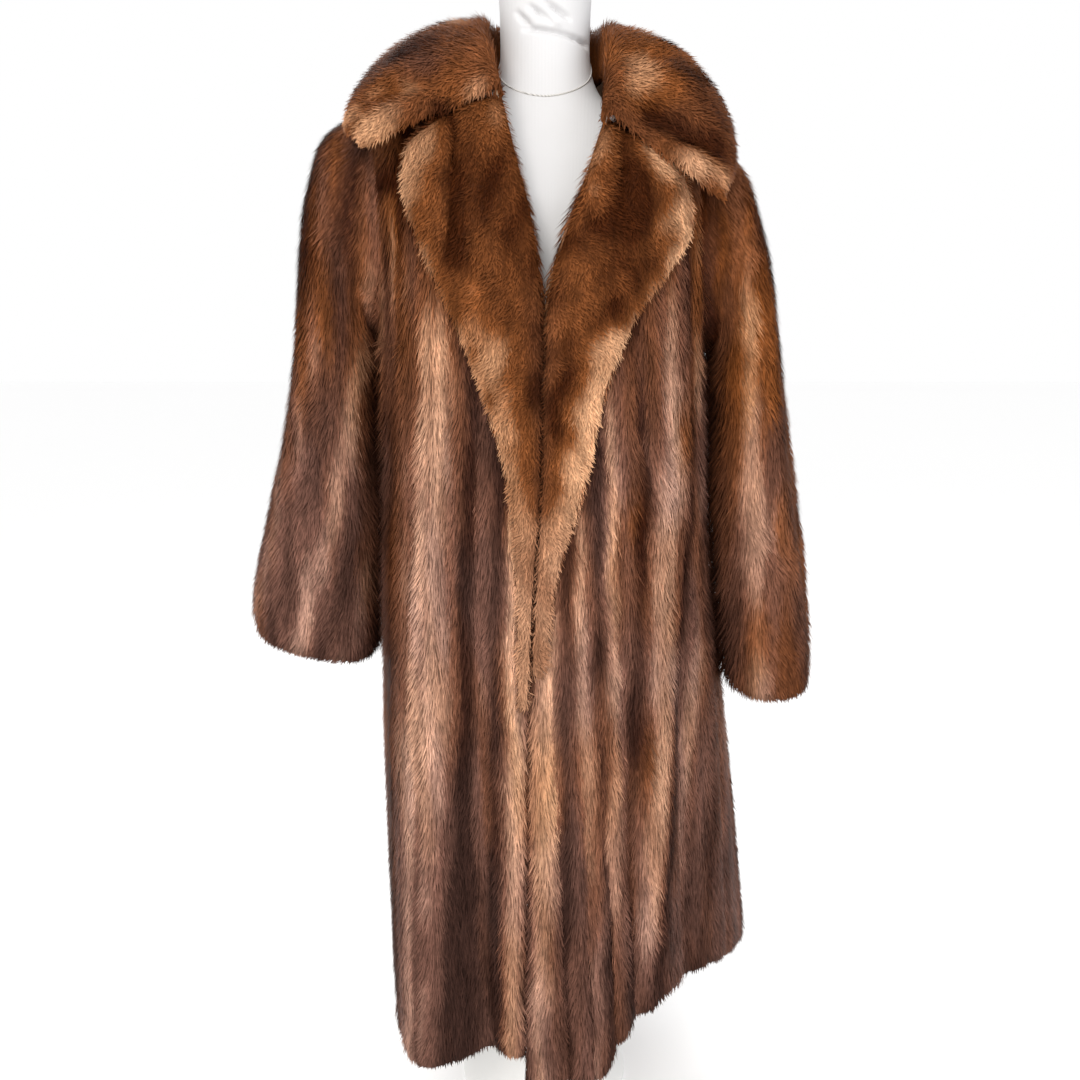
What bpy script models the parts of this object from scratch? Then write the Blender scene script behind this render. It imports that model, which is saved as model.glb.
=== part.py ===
"""Full-length fur coat with a notched collar, worn open by a limbless dress form on a stand.

Metres, +Z up, the front of the coat towards -Y and the wearer's left towards +X. The origin is
the centre of the stand's underside. Each piece of the coat is one wall of pelt and fur.
"""

import math
from collections import namedtuple

import bpy
from mathutils import Vector

# ---------------------------------------------------------------- driving dimensions
WALL = 0.012  # pelt and standing fur together
SEAM = 0.0010  # gap left between two pieces sewn together
ARMHOLE_SEAM = 0.0018  # gap left round the armhole, whose edges curve
FRONT_GAP = 0.0030  # gap between the two front edges

HEM = 0.19  # lowest row of the section table
ARMPIT = 1.105
SHOULDER_TIP = 1.353
NECK_SEAM = 1.396
ARMHOLE_DEPTH = 0.082  # half of the armhole, front to back
LEAN = 0.055  # how far the coat sits down on the wearer's left shoulder, per metre of width
LEAN_START = 0.85  # heights between which the lean sets in
LEAN_END = 1.20

FRONT_COLUMNS = 15
BACK_COLUMNS = 24
SKIRT_ROWS = 17
ARMHOLE_STEPS = 8
SHOULDER_ROWS = 4
EDGE_SHARE = 0.45  # thickness left at a rounded fur edge
SEARCH_STEPS = 36
SLOPE_STEP = 0.004  # radians and metres, to find which way a face looks

# Inner face of the coat at each height: half width, reach to the front and to the back,
# sideways centre, and how square the section is (2 is an ellipse).
Section = namedtuple("Section", "height half_width front back centre square")
SECTIONS = (
    Section(0.19, 0.244, 0.226, 0.225, 0.034, 2.1),
    Section(0.45, 0.232, 0.216, 0.208, 0.021, 2.1),
    Section(0.65, 0.220, 0.206, 0.190, 0.011, 2.2),
    Section(0.80, 0.206, 0.198, 0.175, 0.004, 2.3),
    Section(0.95, 0.196, 0.188, 0.160, 0.000, 2.4),
    Section(1.10, 0.192, 0.174, 0.150, -0.003, 2.4),
    Section(1.20, 0.194, 0.156, 0.146, -0.005, 2.5),
    Section(1.29, 0.197, 0.132, 0.134, -0.008, 2.5),
    Section(1.335, 0.194, 0.112, 0.110, -0.008, 2.4),
    Section(1.36, 0.174, 0.098, 0.088, -0.006, 2.3),
    Section(1.38, 0.128, 0.087, 0.072, -0.003, 2.2),
    Section(1.398, 0.094, 0.078, 0.062, 0.000, 2.1),
    Section(1.415, 0.074, 0.066, 0.055, 0.000, 2.0),
)

# Folds that hang down the coat: degrees round from the centre front (the wearer's left is
# positive), height of the ridge at the hem (a groove is negative), half width in degrees,
# and the height where the fold dies out.
Fold = namedtuple("Fold", "degrees ridge width top")
FOLDS = (
    Fold(-46.0, 0.038, 17.0, 1.10),
    Fold(-26.0, -0.020, 6.0, 1.15),
    Fold(-16.0, 0.008, 5.0, 1.05),
    Fold(1.0, -0.008, 4.0, 0.95),
    Fold(11.0, 0.008, 5.0, 1.00),
    Fold(23.0, -0.012, 5.0, 1.00),
    Fold(50.0, -0.034, 16.0, 1.00),
    Fold(34.0, 0.012, 5.0, 1.05),
    Fold(62.0, 0.008, 6.0, 0.95),
    Fold(-100.0, 0.010, 9.0, 0.85),
    Fold(97.0, 0.014, 13.0, 0.90),
    Fold(122.0, -0.014, 9.0, 0.80),
    Fold(142.0, 0.020, 10.0, 1.05),
    Fold(163.0, -0.014, 8.0, 0.85),
    Fold(182.0, 0.014, 9.0, 1.10),
    Fold(201.0, -0.015, 8.0, 0.90),
    Fold(222.0, 0.020, 11.0, 1.00),
    Fold(243.0, -0.012, 8.0, 0.80),
)

# Height of the hem round the wearer's right half and left half.
HemPoint = namedtuple("HemPoint", "degrees height")
HEM_RIGHT = (
    HemPoint(-180.0, 0.200),
    HemPoint(-120.0, 0.205),
    HemPoint(-85.0, 0.200),
    HemPoint(-60.0, 0.185),
    HemPoint(-45.0, 0.175),
    HemPoint(-33.0, 0.200),
    HemPoint(-20.0, 0.214),
    HemPoint(-8.0, 0.225),
)
HEM_LEFT = (
    HemPoint(-12.0, 0.175),
    HemPoint(8.0, 0.180),
    HemPoint(15.0, 0.228),
    HemPoint(24.0, 0.255),
    HemPoint(34.0, 0.285),
    HemPoint(48.0, 0.260),
    HemPoint(60.0, 0.264),
    HemPoint(90.0, 0.215),
    HemPoint(130.0, 0.205),
    HemPoint(180.0, 0.200),
)
CENTRE_FRONT = -14.0  # degrees round, at the hem

# Sideways place of the two front edges, and of the roll lines above the break.
FrontEdge = namedtuple("FrontEdge", "height right left")
FRONT_EDGES = (
    FrontEdge(0.10, -0.024, -0.024),
    FrontEdge(0.45, -0.022, -0.022),
    FrontEdge(0.70, -0.018, -0.018),
    FrontEdge(0.88, -0.010, -0.010),
    FrontEdge(1.10, -0.003, -0.003),
    FrontEdge(1.15, -0.003, -0.001),
    FrontEdge(1.22, -0.012, 0.016),
    FrontEdge(1.30, -0.034, 0.048),
    FrontEdge(1.34, -0.054, 0.072),
    FrontEdge(1.37, -0.066, 0.080),
    FrontEdge(1.40, -0.070, 0.080),
)

# Lapels: roll line and outer edge from the lower end up to the gorge, as seen from the front.
LAPEL_WALL = 0.014
LAPEL_LIFT = 0.010  # how far its middle stands off the front
LAPEL_FULL = 0.06  # width from which it has its whole lift
LAPEL_ROWS = 22
LAPEL_COLUMNS = 7
LapelRow = namedtuple("LapelRow", "along roll_x roll_z edge_x edge_z")
LAPEL_RIGHT = (
    LapelRow(0.00, -0.021, 0.700, -0.030, 0.700),
    LapelRow(0.20, -0.014, 0.850, -0.030, 0.860),
    LapelRow(0.35, -0.008, 0.950, -0.038, 0.955),
    LapelRow(0.50, -0.005, 1.060, -0.064, 1.055),
    LapelRow(0.65, -0.004, 1.150, -0.106, 1.150),
    LapelRow(0.78, -0.014, 1.235, -0.133, 1.210),
    LapelRow(0.90, -0.031, 1.300, -0.150, 1.262),
    LapelRow(1.00, -0.046, 1.360, -0.147, 1.306),
)
LAPEL_LEFT = (
    LapelRow(0.00, -0.014, 0.740, -0.006, 0.740),
    LapelRow(0.20, -0.008, 0.860, 0.014, 0.870),
    LapelRow(0.35, -0.003, 0.950, 0.040, 0.960),
    LapelRow(0.50, -0.001, 1.060, 0.061, 1.060),
    LapelRow(0.65, 0.002, 1.150, 0.092, 1.140),
    LapelRow(0.78, 0.018, 1.215, 0.130, 1.195),
    LapelRow(0.90, 0.038, 1.275, 0.155, 1.245),
    LapelRow(1.00, 0.058, 1.328, 0.146, 1.285),
)

# Collar: for each row round the neck, the foot of the stand, the top of the roll and the
# outer edge of the fall, on the fur side.
COLLAR_WALL = 0.011
ROLL_RADIUS = 0.017
COLLAR_ROWS = 30
ROLL_STEPS = 4
FALL_STEPS = 5
CollarRow = namedtuple(
    "CollarRow", "round foot_x foot_y foot_z roll_x roll_y roll_z edge_x edge_y edge_z bulge"
)
COLLAR = (
    CollarRow(0.00, -0.046, -0.118, 1.366, -0.056, -0.132, 1.378, -0.201, -0.148, 1.316, -0.003),
    CollarRow(0.12, -0.055, -0.080, 1.396, -0.068, -0.096, 1.428, -0.234, -0.110, 1.344, 0.018),
    CollarRow(0.26, -0.060, -0.022, 1.412, -0.078, -0.028, 1.474, -0.225, -0.015, 1.398, 0.020),
    CollarRow(0.38, -0.050, 0.032, 1.412, -0.064, 0.044, 1.482, -0.213, 0.085, 1.374, 0.019),
    CollarRow(0.50, 0.000, 0.060, 1.412, 0.000, 0.078, 1.486, -0.010, 0.190, 1.340, 0.012),
    CollarRow(0.62, 0.050, 0.032, 1.412, 0.064, 0.044, 1.478, 0.196, 0.085, 1.346, 0.018),
    CollarRow(0.74, 0.060, -0.022, 1.410, 0.078, -0.028, 1.468, 0.224, -0.015, 1.358, 0.026),
    CollarRow(0.88, 0.060, -0.080, 1.390, 0.078, -0.096, 1.420, 0.224, -0.108, 1.302, 0.022),
    CollarRow(1.00, 0.058, -0.134, 1.336, 0.070, -0.146, 1.348, 0.196, -0.166, 1.258, -0.006),
)

# Sleeves, on the fur side: inner and outer point of each section seen from the front (outwards
# is positive), and its middle and half depth front to back.
SleeveRow = namedtuple("SleeveRow", "along in_x in_z out_x out_z mid_y half_y")
SLEEVE_RIGHT = (
    SleeveRow(0.00, 0.211, 1.115, 0.234, 1.388, 0.000, 0.088),
    SleeveRow(0.06, 0.214, 1.112, 0.257, 1.355, 0.000, 0.090),
    SleeveRow(0.12, 0.215, 1.108, 0.277, 1.308, -0.001, 0.091),
    SleeveRow(0.20, 0.214, 1.098, 0.296, 1.222, -0.003, 0.092),
    SleeveRow(0.30, 0.210, 1.070, 0.310, 1.120, -0.006, 0.090),
    SleeveRow(0.45, 0.210, 0.985, 0.333, 1.000, -0.012, 0.086),
    SleeveRow(0.65, 0.213, 0.870, 0.360, 0.890, -0.020, 0.082),
    SleeveRow(0.85, 0.218, 0.760, 0.383, 0.790, -0.028, 0.080),
    SleeveRow(1.00, 0.221, 0.690, 0.380, 0.730, -0.032, 0.078),
)
SLEEVE_LEFT = (
    SleeveRow(0.00, 0.2095, 1.098, 0.208, 1.345, 0.000, 0.086),
    SleeveRow(0.06, 0.2125, 1.094, 0.230, 1.320, 0.000, 0.088),
    SleeveRow(0.12, 0.2135, 1.090, 0.249, 1.276, -0.003, 0.089),
    SleeveRow(0.20, 0.2125, 1.082, 0.271, 1.198, -0.010, 0.088),
    SleeveRow(0.30, 0.206, 1.060, 0.290, 1.105, -0.020, 0.084),
    SleeveRow(0.45, 0.208, 0.970, 0.309, 0.985, -0.034, 0.080),
    SleeveRow(0.65, 0.218, 0.845, 0.331, 0.855, -0.046, 0.076),
    SleeveRow(0.85, 0.233, 0.720, 0.345, 0.728, -0.056, 0.074),
    SleeveRow(1.00, 0.240, 0.660, 0.346, 0.666, -0.062, 0.072),
)
SLEEVE_ROWS = 17
SLEEVE_SPREAD = 1.5  # rows crowd towards the armhole
SLEEVE_SET_ROWS = 3  # rows over which the sleeve leaves the shape of the armhole
SLEEVE_SQUARE = 2.3

# Dress form, stand and cap.
FormRow = namedtuple("FormRow", "height half_width front back")
FORM = (
    FormRow(0.700, 0.120, 0.085, 0.085),
    FormRow(0.715, 0.140, 0.100, 0.100),
    FormRow(0.780, 0.158, 0.110, 0.115),
    FormRow(0.860, 0.155, 0.108, 0.118),
    FormRow(0.980, 0.122, 0.095, 0.085),
    FormRow(1.080, 0.135, 0.112, 0.088),
    FormRow(1.180, 0.152, 0.122, 0.098),
    FormRow(1.260, 0.164, 0.114, 0.100),
    FormRow(1.310, 0.166, 0.092, 0.088),
    FormRow(1.340, 0.146, 0.078, 0.070),
    FormRow(1.365, 0.104, 0.068, 0.058),
    FormRow(1.388, 0.070, 0.060, 0.052),
    FormRow(1.420, 0.055, 0.055, 0.050),
    FormRow(1.470, 0.053, 0.053, 0.050),
    FormRow(1.512, 0.055, 0.054, 0.052),
)
FORM_SIDES = 32
FORM_SQUARE = 2.2
FORM_LEVELS = 24
CAP_TOP = 1.530
CAP_SHARE = 0.97
CAP_LEVELS = (0.0, 0.4, 0.8, 1.0)
CAP_DOME = 0.7
POLE_RADIUS = 0.015
BASE_RADIUS = 0.125
BASE_RIM = 0.010
BASE_NECK = 0.019
BASE_HEIGHT = 0.200
BASE_CURVE = 1.6
BASE_RISE = 1.5
BASE_STEPS = 8
ROUND_SIDES = 32
GAP = 0.0004


# ---------------------------------------------------------------- tables and curves
def read_row(rows, at):
    """The values of a table's row at a place between its rows, along a smooth curve."""
    at = min(max(at, rows[0][0]), rows[-1][0])
    low = max(i for i, row in enumerate(rows[:-1]) if row[0] <= at)
    start, end = rows[low], rows[low + 1]
    before = rows[max(low - 1, 0)]
    after = rows[min(low + 2, len(rows) - 1)]
    span = end[0] - start[0]
    t = (at - start[0]) / span
    values = []
    for a, b, c, d in zip(before, start, end, after):
        slope_in = (c - a) / (end[0] - before[0]) * span
        slope_out = (d - b) / (after[0] - start[0]) * span
        values.append(
            (2 * t**3 - 3 * t**2 + 1) * b
            + (t**3 - 2 * t**2 + t) * slope_in
            + (3 * t**2 - 2 * t**3) * c
            + (t**3 - t**2) * slope_out
        )
    return type(start)(*values)


def ease(value):
    """0 below 0, 1 above 1, and a soft rise between."""
    value = min(max(value, 0.0), 1.0)
    return value * value * (3 - 2 * value)


def mix(first, second, share):
    return first * (1 - share) + second * share


# ---------------------------------------------------------------- surface of the coat's body
def fold_height(degrees, height):
    """How far the folds push the coat out at a place round it."""
    total = 0.0
    for fold in FOLDS:
        turn = (degrees - fold.degrees + 180) % 360 - 180
        drop = ease((fold.top - height) / (fold.top - HEM))
        total += fold.ridge * drop * math.exp(-((turn / fold.width) ** 2))
    return total


def body_inside(angle, height):
    """Point on the inner face of the coat, angle in radians round from the centre front."""
    row = read_row(SECTIONS, height)
    reach = row.front if math.cos(angle) > 0 else row.back
    side = abs(math.sin(angle)) / row.half_width
    depth = abs(math.cos(angle)) / reach
    radius = (side**row.square + depth**row.square) ** (-1 / row.square)
    radius += fold_height(math.degrees(angle), height)
    x = row.centre + radius * math.sin(angle)
    y = -radius * math.cos(angle)
    sink = LEAN * x * ease((height - LEAN_START) / (LEAN_END - LEAN_START))
    return Vector((x, y, height - sink))


def body_point(angle, height, out=0.0):
    """Point of the coat's body, moved out from its inner face."""
    across = body_inside(angle + SLOPE_STEP, height) - body_inside(angle - SLOPE_STEP, height)
    high = min(height + SLOPE_STEP, SECTIONS[-1].height)
    along = body_inside(angle, high) - body_inside(angle, height - SLOPE_STEP)
    return body_inside(angle, height) + across.cross(along).normalized() * out


def angle_at_x(height, x):
    """Angle on the front half at which the coat's inner face has the given x."""
    low, high = -math.pi / 2, math.pi / 2
    for _ in range(SEARCH_STEPS):
        middle = (low + high) / 2
        if body_inside(middle, height).x < x:
            low = middle
        else:
            high = middle
    return (low + high) / 2


def angle_at_depth(height, depth, sign, half):
    """Angle beside the side seam at which the coat's inner face reaches a depth to the front
    (half is 1) or to the back (half is -1), on the wearer's left (sign is 1) or right (-1)."""
    low, high = 0.0, math.pi / 2
    for _ in range(SEARCH_STEPS):
        middle = (low + high) / 2
        angle = sign * (middle if half > 0 else math.pi - middle)
        if -half * body_inside(angle, height).y > depth:
            low = middle
        else:
            high = middle
    return sign * (low if half > 0 else math.pi - low)


def hem_height(angle):
    degrees = (math.degrees(angle) + 180) % 360 - 180
    return read_row(HEM_LEFT if degrees > CENTRE_FRONT else HEM_RIGHT, degrees).height


def armhole_half_depth(height):
    """Half of the armhole front to back at a height, 0 below and above it."""
    middle = (ARMPIT + SHOULDER_TIP) / 2
    half = (SHOULDER_TIP - ARMPIT) / 2
    return ARMHOLE_DEPTH * math.sqrt(max(1 - ((height - middle) / half) ** 2, 0.0))


def armhole_height(step, steps):
    """Heights round the armhole, closer together towards its top and bottom."""
    middle = (ARMPIT + SHOULDER_TIP) / 2
    half = (SHOULDER_TIP - ARMPIT) / 2
    return middle - half * math.cos(math.pi * step / steps)


def body_rows():
    """Rows of the body's panels: share of the skirt from 0 to 1, then heights above the armpit."""
    rows = [("skirt", i / SKIRT_ROWS) for i in range(SKIRT_ROWS)]
    rows += [("above", armhole_height(i, ARMHOLE_STEPS)) for i in range(ARMHOLE_STEPS + 1)]
    rise = NECK_SEAM - SHOULDER_TIP
    rows += [("above", SHOULDER_TIP + rise * i / SHOULDER_ROWS) for i in range(1, SHOULDER_ROWS + 1)]
    return rows


def row_height(row, angle):
    kind, value = row
    return mix(hem_height(angle), ARMPIT, value) if kind == "skirt" else value


# ---------------------------------------------------------------- meshes
def material_of(name, colour, roughness):
    material = bpy.data.materials.new(name)
    material.use_nodes = True
    shader = material.node_tree.nodes["Principled BSDF"]
    shader.inputs["Base Color"].default_value = (*colour, 1.0)
    shader.inputs["Roughness"].default_value = roughness
    shader.inputs["Metallic"].default_value = 0.0
    material.diffuse_color = (*colour, 1.0)
    return material


def add_object(name, points, faces, material):
    mesh = bpy.data.meshes.new(name)
    mesh.from_pydata(points, [], faces)
    mesh.validate()
    mesh.materials.append(material)
    mesh.shade_smooth()
    mesh.set_sharp_from_angle(angle=math.radians(40))
    obj = bpy.data.objects.new(name, mesh)
    bpy.context.scene.collection.objects.link(obj)
    return obj


def wall_mesh(outer, inner, closed_round=False):
    """Points and faces of a wall between two grids of the same size. Each row of a grid runs
    so that across times along points out of the wall. A round wall joins its last column to
    its first."""
    rows, columns = len(outer), len(outer[0])
    points = [p for row in outer for p in row] + [p for row in inner for p in row]
    far = rows * columns
    faces = []
    steps = columns if closed_round else columns - 1
    for i in range(rows - 1):
        for j in range(steps):
            k = (j + 1) % columns
            a, b = i * columns + j, i * columns + k
            c, d = (i + 1) * columns + k, (i + 1) * columns + j
            faces += [(a, b, c, d), (far + d, far + c, far + b, far + a)]
    for j in range(steps):
        k = (j + 1) % columns
        top = (rows - 1) * columns
        faces.append((far + j, far + k, k, j))
        faces.append((top + j, top + k, far + top + k, far + top + j))
    if not closed_round:
        for i in range(rows - 1):
            a, b = i * columns, (i + 1) * columns
            faces.append((a, b, far + b, far + a))
            a, b = a + columns - 1, b + columns - 1
            faces.append((b, a, far + a, far + b))
    return points, faces


# ---------------------------------------------------------------- pieces of the coat
def side_depth(row):
    """Distance of a panel's side edge from the side seam's plane, front to back."""
    kind, value = row
    return SEAM / 2 if kind == "skirt" else max(armhole_half_depth(value), SEAM / 2)


def panel_from(name, rows_of_angles, material):
    """A wall of the coat's body whose rows run round it at the given angles."""
    outer, inner = [], []
    for row, angles in rows_of_angles:
        places = [(angle, row_height(row, angle)) for angle in angles]
        outer.append([body_point(angle, height, WALL) for angle, height in places])
        inner.append([body_point(angle, height) for angle, height in places])
    return add_object(name, *wall_mesh(outer, inner), material)


def front_panel(name, sign, material):
    """A front, from its front edge to the side seam, the armhole and the shoulder seam."""
    rows = []
    for row in body_rows():
        middle_height = row_height(row, 0.0)
        edges = read_row(FRONT_EDGES, middle_height)
        edge_x = edges.left + FRONT_GAP / 2 if sign > 0 else edges.right - FRONT_GAP / 2
        start = angle_at_x(middle_height, edge_x)
        end = angle_at_depth(row_height(row, sign * math.pi / 2), side_depth(row), sign, 1)
        angles = [mix(start, end, j / FRONT_COLUMNS) for j in range(FRONT_COLUMNS + 1)]
        rows.append((row, sorted(angles)))
    return panel_from(name, rows, material)


def back_panel(material):
    """The back, from the left side seam round to the right one."""
    rows = []
    for row in body_rows():
        start = angle_at_depth(row_height(row, math.pi / 2), side_depth(row), 1, -1)
        end = angle_at_depth(row_height(row, -math.pi / 2), side_depth(row), -1, -1) + 2 * math.pi
        angles = [mix(start, end, j / BACK_COLUMNS) for j in range(BACK_COLUMNS + 1)]
        rows.append((row, angles))
    return panel_from("back", rows, material)


def edge_thickness(share, steps):
    """Thickness at a place across a piece, 1 in the middle and thin at both rounded edges."""
    from_edge = min(share, 1 - share) * steps
    return mix(EDGE_SHARE, 1.0, math.sqrt(min(from_edge, 1.0)))


def lapel(name, table, sign, material):
    """A lapel turned back over its front, from the roll line to its thick outer edge."""
    outer, inner = [], []
    for i in range(LAPEL_ROWS + 1):
        row = read_row(table, i / LAPEL_ROWS)
        outer_row, inner_row = [], []
        for j in range(LAPEL_COLUMNS + 1):
            share = j / LAPEL_COLUMNS
            height = mix(row.roll_z, row.edge_z, share)
            angle = angle_at_x(height, mix(row.roll_x, row.edge_x, share))
            lift = LAPEL_LIFT * math.sin(math.pi * share) * ease(abs(row.edge_x - row.roll_x) / LAPEL_FULL)
            bottom = WALL + SEAM + lift
            thick = LAPEL_WALL * edge_thickness(share, LAPEL_COLUMNS)
            thick *= edge_thickness(i / LAPEL_ROWS, LAPEL_ROWS)
            outer_row.append(body_point(angle, height, bottom + thick))
            inner_row.append(body_point(angle, height, bottom))
        outer.append(outer_row if sign > 0 else outer_row[::-1])
        inner.append(inner_row if sign > 0 else inner_row[::-1])
    return add_object(name, *wall_mesh(outer, inner), material)


def collar_section(row):
    """Fur side of the collar at one place round the neck: up the stand, over the roll and
    down the fall to the outer edge."""
    foot = Vector((row.foot_x, row.foot_y, row.foot_z))
    roll = Vector((row.roll_x, row.roll_y, row.roll_z))
    edge = Vector((row.edge_x, row.edge_y, row.edge_z))
    outwards = Vector((edge.x - roll.x, edge.y - roll.y, 0.0)).normalized()
    up = Vector((0.0, 0.0, 1.0))
    centre = roll - up * ROLL_RADIUS
    fall = edge - centre
    last = math.atan2(fall.dot(outwards), -fall.z)
    points = [foot]
    for k in range(ROLL_STEPS + 1):
        turn = mix(math.pi, last, k / ROLL_STEPS)
        points.append(centre + (outwards * math.cos(turn) + up * math.sin(turn)) * ROLL_RADIUS)
    start = points[-1]
    across = outwards * math.cos(last) + up * math.sin(last)
    for k in range(1, FALL_STEPS + 1):
        share = k / FALL_STEPS
        points.append(start.lerp(edge, share) + across * row.bulge * 4 * share * (1 - share))
    return points


def inward_of(grid, thickness):
    """The grid moved in from its face by the thickness that each row and column gives."""
    moved = []
    for i, row in enumerate(grid):
        moved_row = []
        for j, point in enumerate(row):
            across = row[min(j + 1, len(row) - 1)] - row[max(j - 1, 0)]
            along = grid[min(i + 1, len(grid) - 1)][j] - grid[max(i - 1, 0)][j]
            moved_row.append(point - across.cross(along).normalized() * thickness(i, j))
        moved.append(moved_row)
    return moved


def collar(material):
    """The collar, from the wearer's right lapel round the neck to the left one."""
    sections = [collar_section(read_row(COLLAR, k / COLLAR_ROWS)) for k in range(COLLAR_ROWS + 1)]
    outer = [[section[i] for section in sections] for i in range(len(sections[0]))]
    last = len(outer) - 1

    def thickness(i, j):
        round_end = edge_thickness(j / COLLAR_ROWS, COLLAR_ROWS)
        return COLLAR_WALL * round_end * (EDGE_SHARE if i == last else 1.0)

    return add_object("collar", *wall_mesh(outer, inward_of(outer, thickness)), material)


def armhole_ring(turn, sign, inset, out):
    """Point of the sleeve's seam in the armhole. The turn starts at the armpit, is half round
    at the shoulder tip, and goes up the front."""
    middle = (ARMPIT + SHOULDER_TIP) / 2
    height = middle - ((SHOULDER_TIP - ARMPIT) / 2 - inset) * math.cos(turn)
    depth = (ARMHOLE_DEPTH - inset) * abs(math.sin(turn))
    half = 1 if turn <= math.pi else -1
    return body_point(angle_at_depth(height, depth, sign, half), height, out)


def sleeve_ring(row, turn, sign, inset):
    """Point of a sleeve's section, moved in from the fur side."""
    start = Vector((row.in_x, 0.0, row.in_z))
    end = Vector((row.out_x, 0.0, row.out_z))
    along, aside = math.cos(turn), math.sin(turn)
    reach = (abs(along) ** SLEEVE_SQUARE + abs(aside) ** SLEEVE_SQUARE) ** (-1 / SLEEVE_SQUARE)
    direction = (end - start).normalized()
    half_length = (end - start).length / 2 - inset
    point = (start + end) / 2 - direction * half_length * along * reach
    depth = row.mid_y - (row.half_y - inset) * aside * reach
    return Vector((sign * point.x, depth, point.z))


def sleeve(name, table, sign, material):
    """A set-in sleeve: a round wall from the armhole to the cuff, open at both ends."""
    columns = 2 * ARMHOLE_STEPS
    turns = [2 * math.pi * k / columns for k in range(columns)]
    if sign > 0:
        turns.reverse()
    outer, inner = [], []
    for i in range(SLEEVE_ROWS + 1):
        along = max((i - 1) / (SLEEVE_ROWS - 1), 0.0)
        row = read_row(table, along ** SLEEVE_SPREAD)
        own = ease(i / SLEEVE_SET_ROWS)
        outer_row, inner_row = [], []
        for turn in turns:
            seam_out = armhole_ring(turn, sign, ARMHOLE_SEAM, WALL)
            seam_in = armhole_ring(turn, sign, ARMHOLE_SEAM, 0.0)
            outer_row.append(seam_out.lerp(sleeve_ring(row, turn, sign, 0.0), own))
            inner_row.append(seam_in.lerp(sleeve_ring(row, turn, sign, WALL), own))
        outer.append(outer_row)
        inner.append(inner_row)
    return add_object(name, *wall_mesh(outer, inner, closed_round=True), material)


# ---------------------------------------------------------------- dress form and stand
def turned_solid(name, rings, material):
    """A closed solid from rings of points, lowest first, each seen from above as it turns left."""
    sides = len(rings[0])
    points = [point for ring in rings for point in ring]
    faces = [tuple(reversed(range(sides)))]
    for i in range(len(rings) - 1):
        for j in range(sides):
            k = (j + 1) % sides
            faces.append((i * sides + j, i * sides + k, (i + 1) * sides + k, (i + 1) * sides + j))
    faces.append(tuple((len(rings) - 1) * sides + j for j in range(sides)))
    return add_object(name, points, faces, material)


def round_rings(profile):
    """Rings of a turned shape from its radii and heights."""
    turns = [2 * math.pi * k / ROUND_SIDES for k in range(ROUND_SIDES)]
    return [[Vector((r * math.cos(t), r * math.sin(t), z)) for t in turns] for r, z in profile]


def form_ring(row, shrink=1.0):
    ring = []
    for k in range(FORM_SIDES):
        turn = 2 * math.pi * k / FORM_SIDES
        aside, depth = math.cos(turn), math.sin(turn)
        reach = row.back if depth > 0 else row.front
        radius = (abs(aside / row.half_width) ** FORM_SQUARE + abs(depth / reach) ** FORM_SQUARE)
        radius = radius ** (-1 / FORM_SQUARE) * shrink
        ring.append(Vector((radius * aside, radius * depth, row.height)))
    return ring


def dress_form(jersey, enamel, wood):
    heights = [mix(FORM[0].height, FORM[-1].height, i / FORM_LEVELS) for i in range(FORM_LEVELS + 1)]
    turned_solid("torso", [form_ring(read_row(FORM, height)) for height in heights], jersey)
    top = FORM[-1]
    cap_rings = []
    for share in CAP_LEVELS:
        height = mix(top.height + GAP, CAP_TOP, share)
        shrink = CAP_SHARE * math.sqrt(1 - CAP_DOME * share**2)
        cap_rings.append(form_ring(top._replace(height=height), shrink))
    turned_solid("neck_cap", cap_rings, wood)
    pole_bottom, pole_top = BASE_HEIGHT + GAP, FORM[0].height - GAP
    turned_solid("pole", round_rings([(POLE_RADIUS, pole_bottom), (POLE_RADIUS, pole_top)]), enamel)
    profile = [(BASE_RADIUS, 0.0), (BASE_RADIUS, BASE_RIM)]
    for k in range(1, BASE_STEPS + 1):
        share = k / BASE_STEPS
        radius = mix(BASE_NECK, BASE_RADIUS, (1 - share) ** BASE_CURVE)
        profile.append((radius, mix(BASE_RIM, BASE_HEIGHT, share**BASE_RISE)))
    turned_solid("base", round_rings(profile), enamel)


def build():
    for obj in list(bpy.data.objects):
        bpy.data.objects.remove(obj)
    fur = material_of("brown mink", (0.115, 0.042, 0.020), 0.75)
    facing_fur = material_of("golden brown mink", (0.190, 0.070, 0.024), 0.70)
    jersey = material_of("white cotton jersey", (0.80, 0.78, 0.74), 0.85)
    enamel = material_of("white enamel", (0.78, 0.78, 0.77), 0.35)
    wood = material_of("pale turned wood", (0.55, 0.42, 0.28), 0.50)
    front_panel("front_right", -1, fur)
    front_panel("front_left", 1, fur)
    back_panel(fur)
    lapel("lapel_right", LAPEL_RIGHT, -1, facing_fur)
    lapel("lapel_left", LAPEL_LEFT, 1, facing_fur)
    collar(facing_fur)
    sleeve("sleeve_right", SLEEVE_RIGHT, -1, fur)
    sleeve("sleeve_left", SLEEVE_LEFT, 1, fur)
    dress_form(jersey, enamel, wood)


build()
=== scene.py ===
"""Looks of a full-length mink coat that hangs open on a limbless dress form.

The sections follow the order in which it is put together: the stand, the form, then the coat
from its back and fronts to the lapels, the collar and the sleeves. Metres throughout.
"""

import math
from collections import namedtuple

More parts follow.
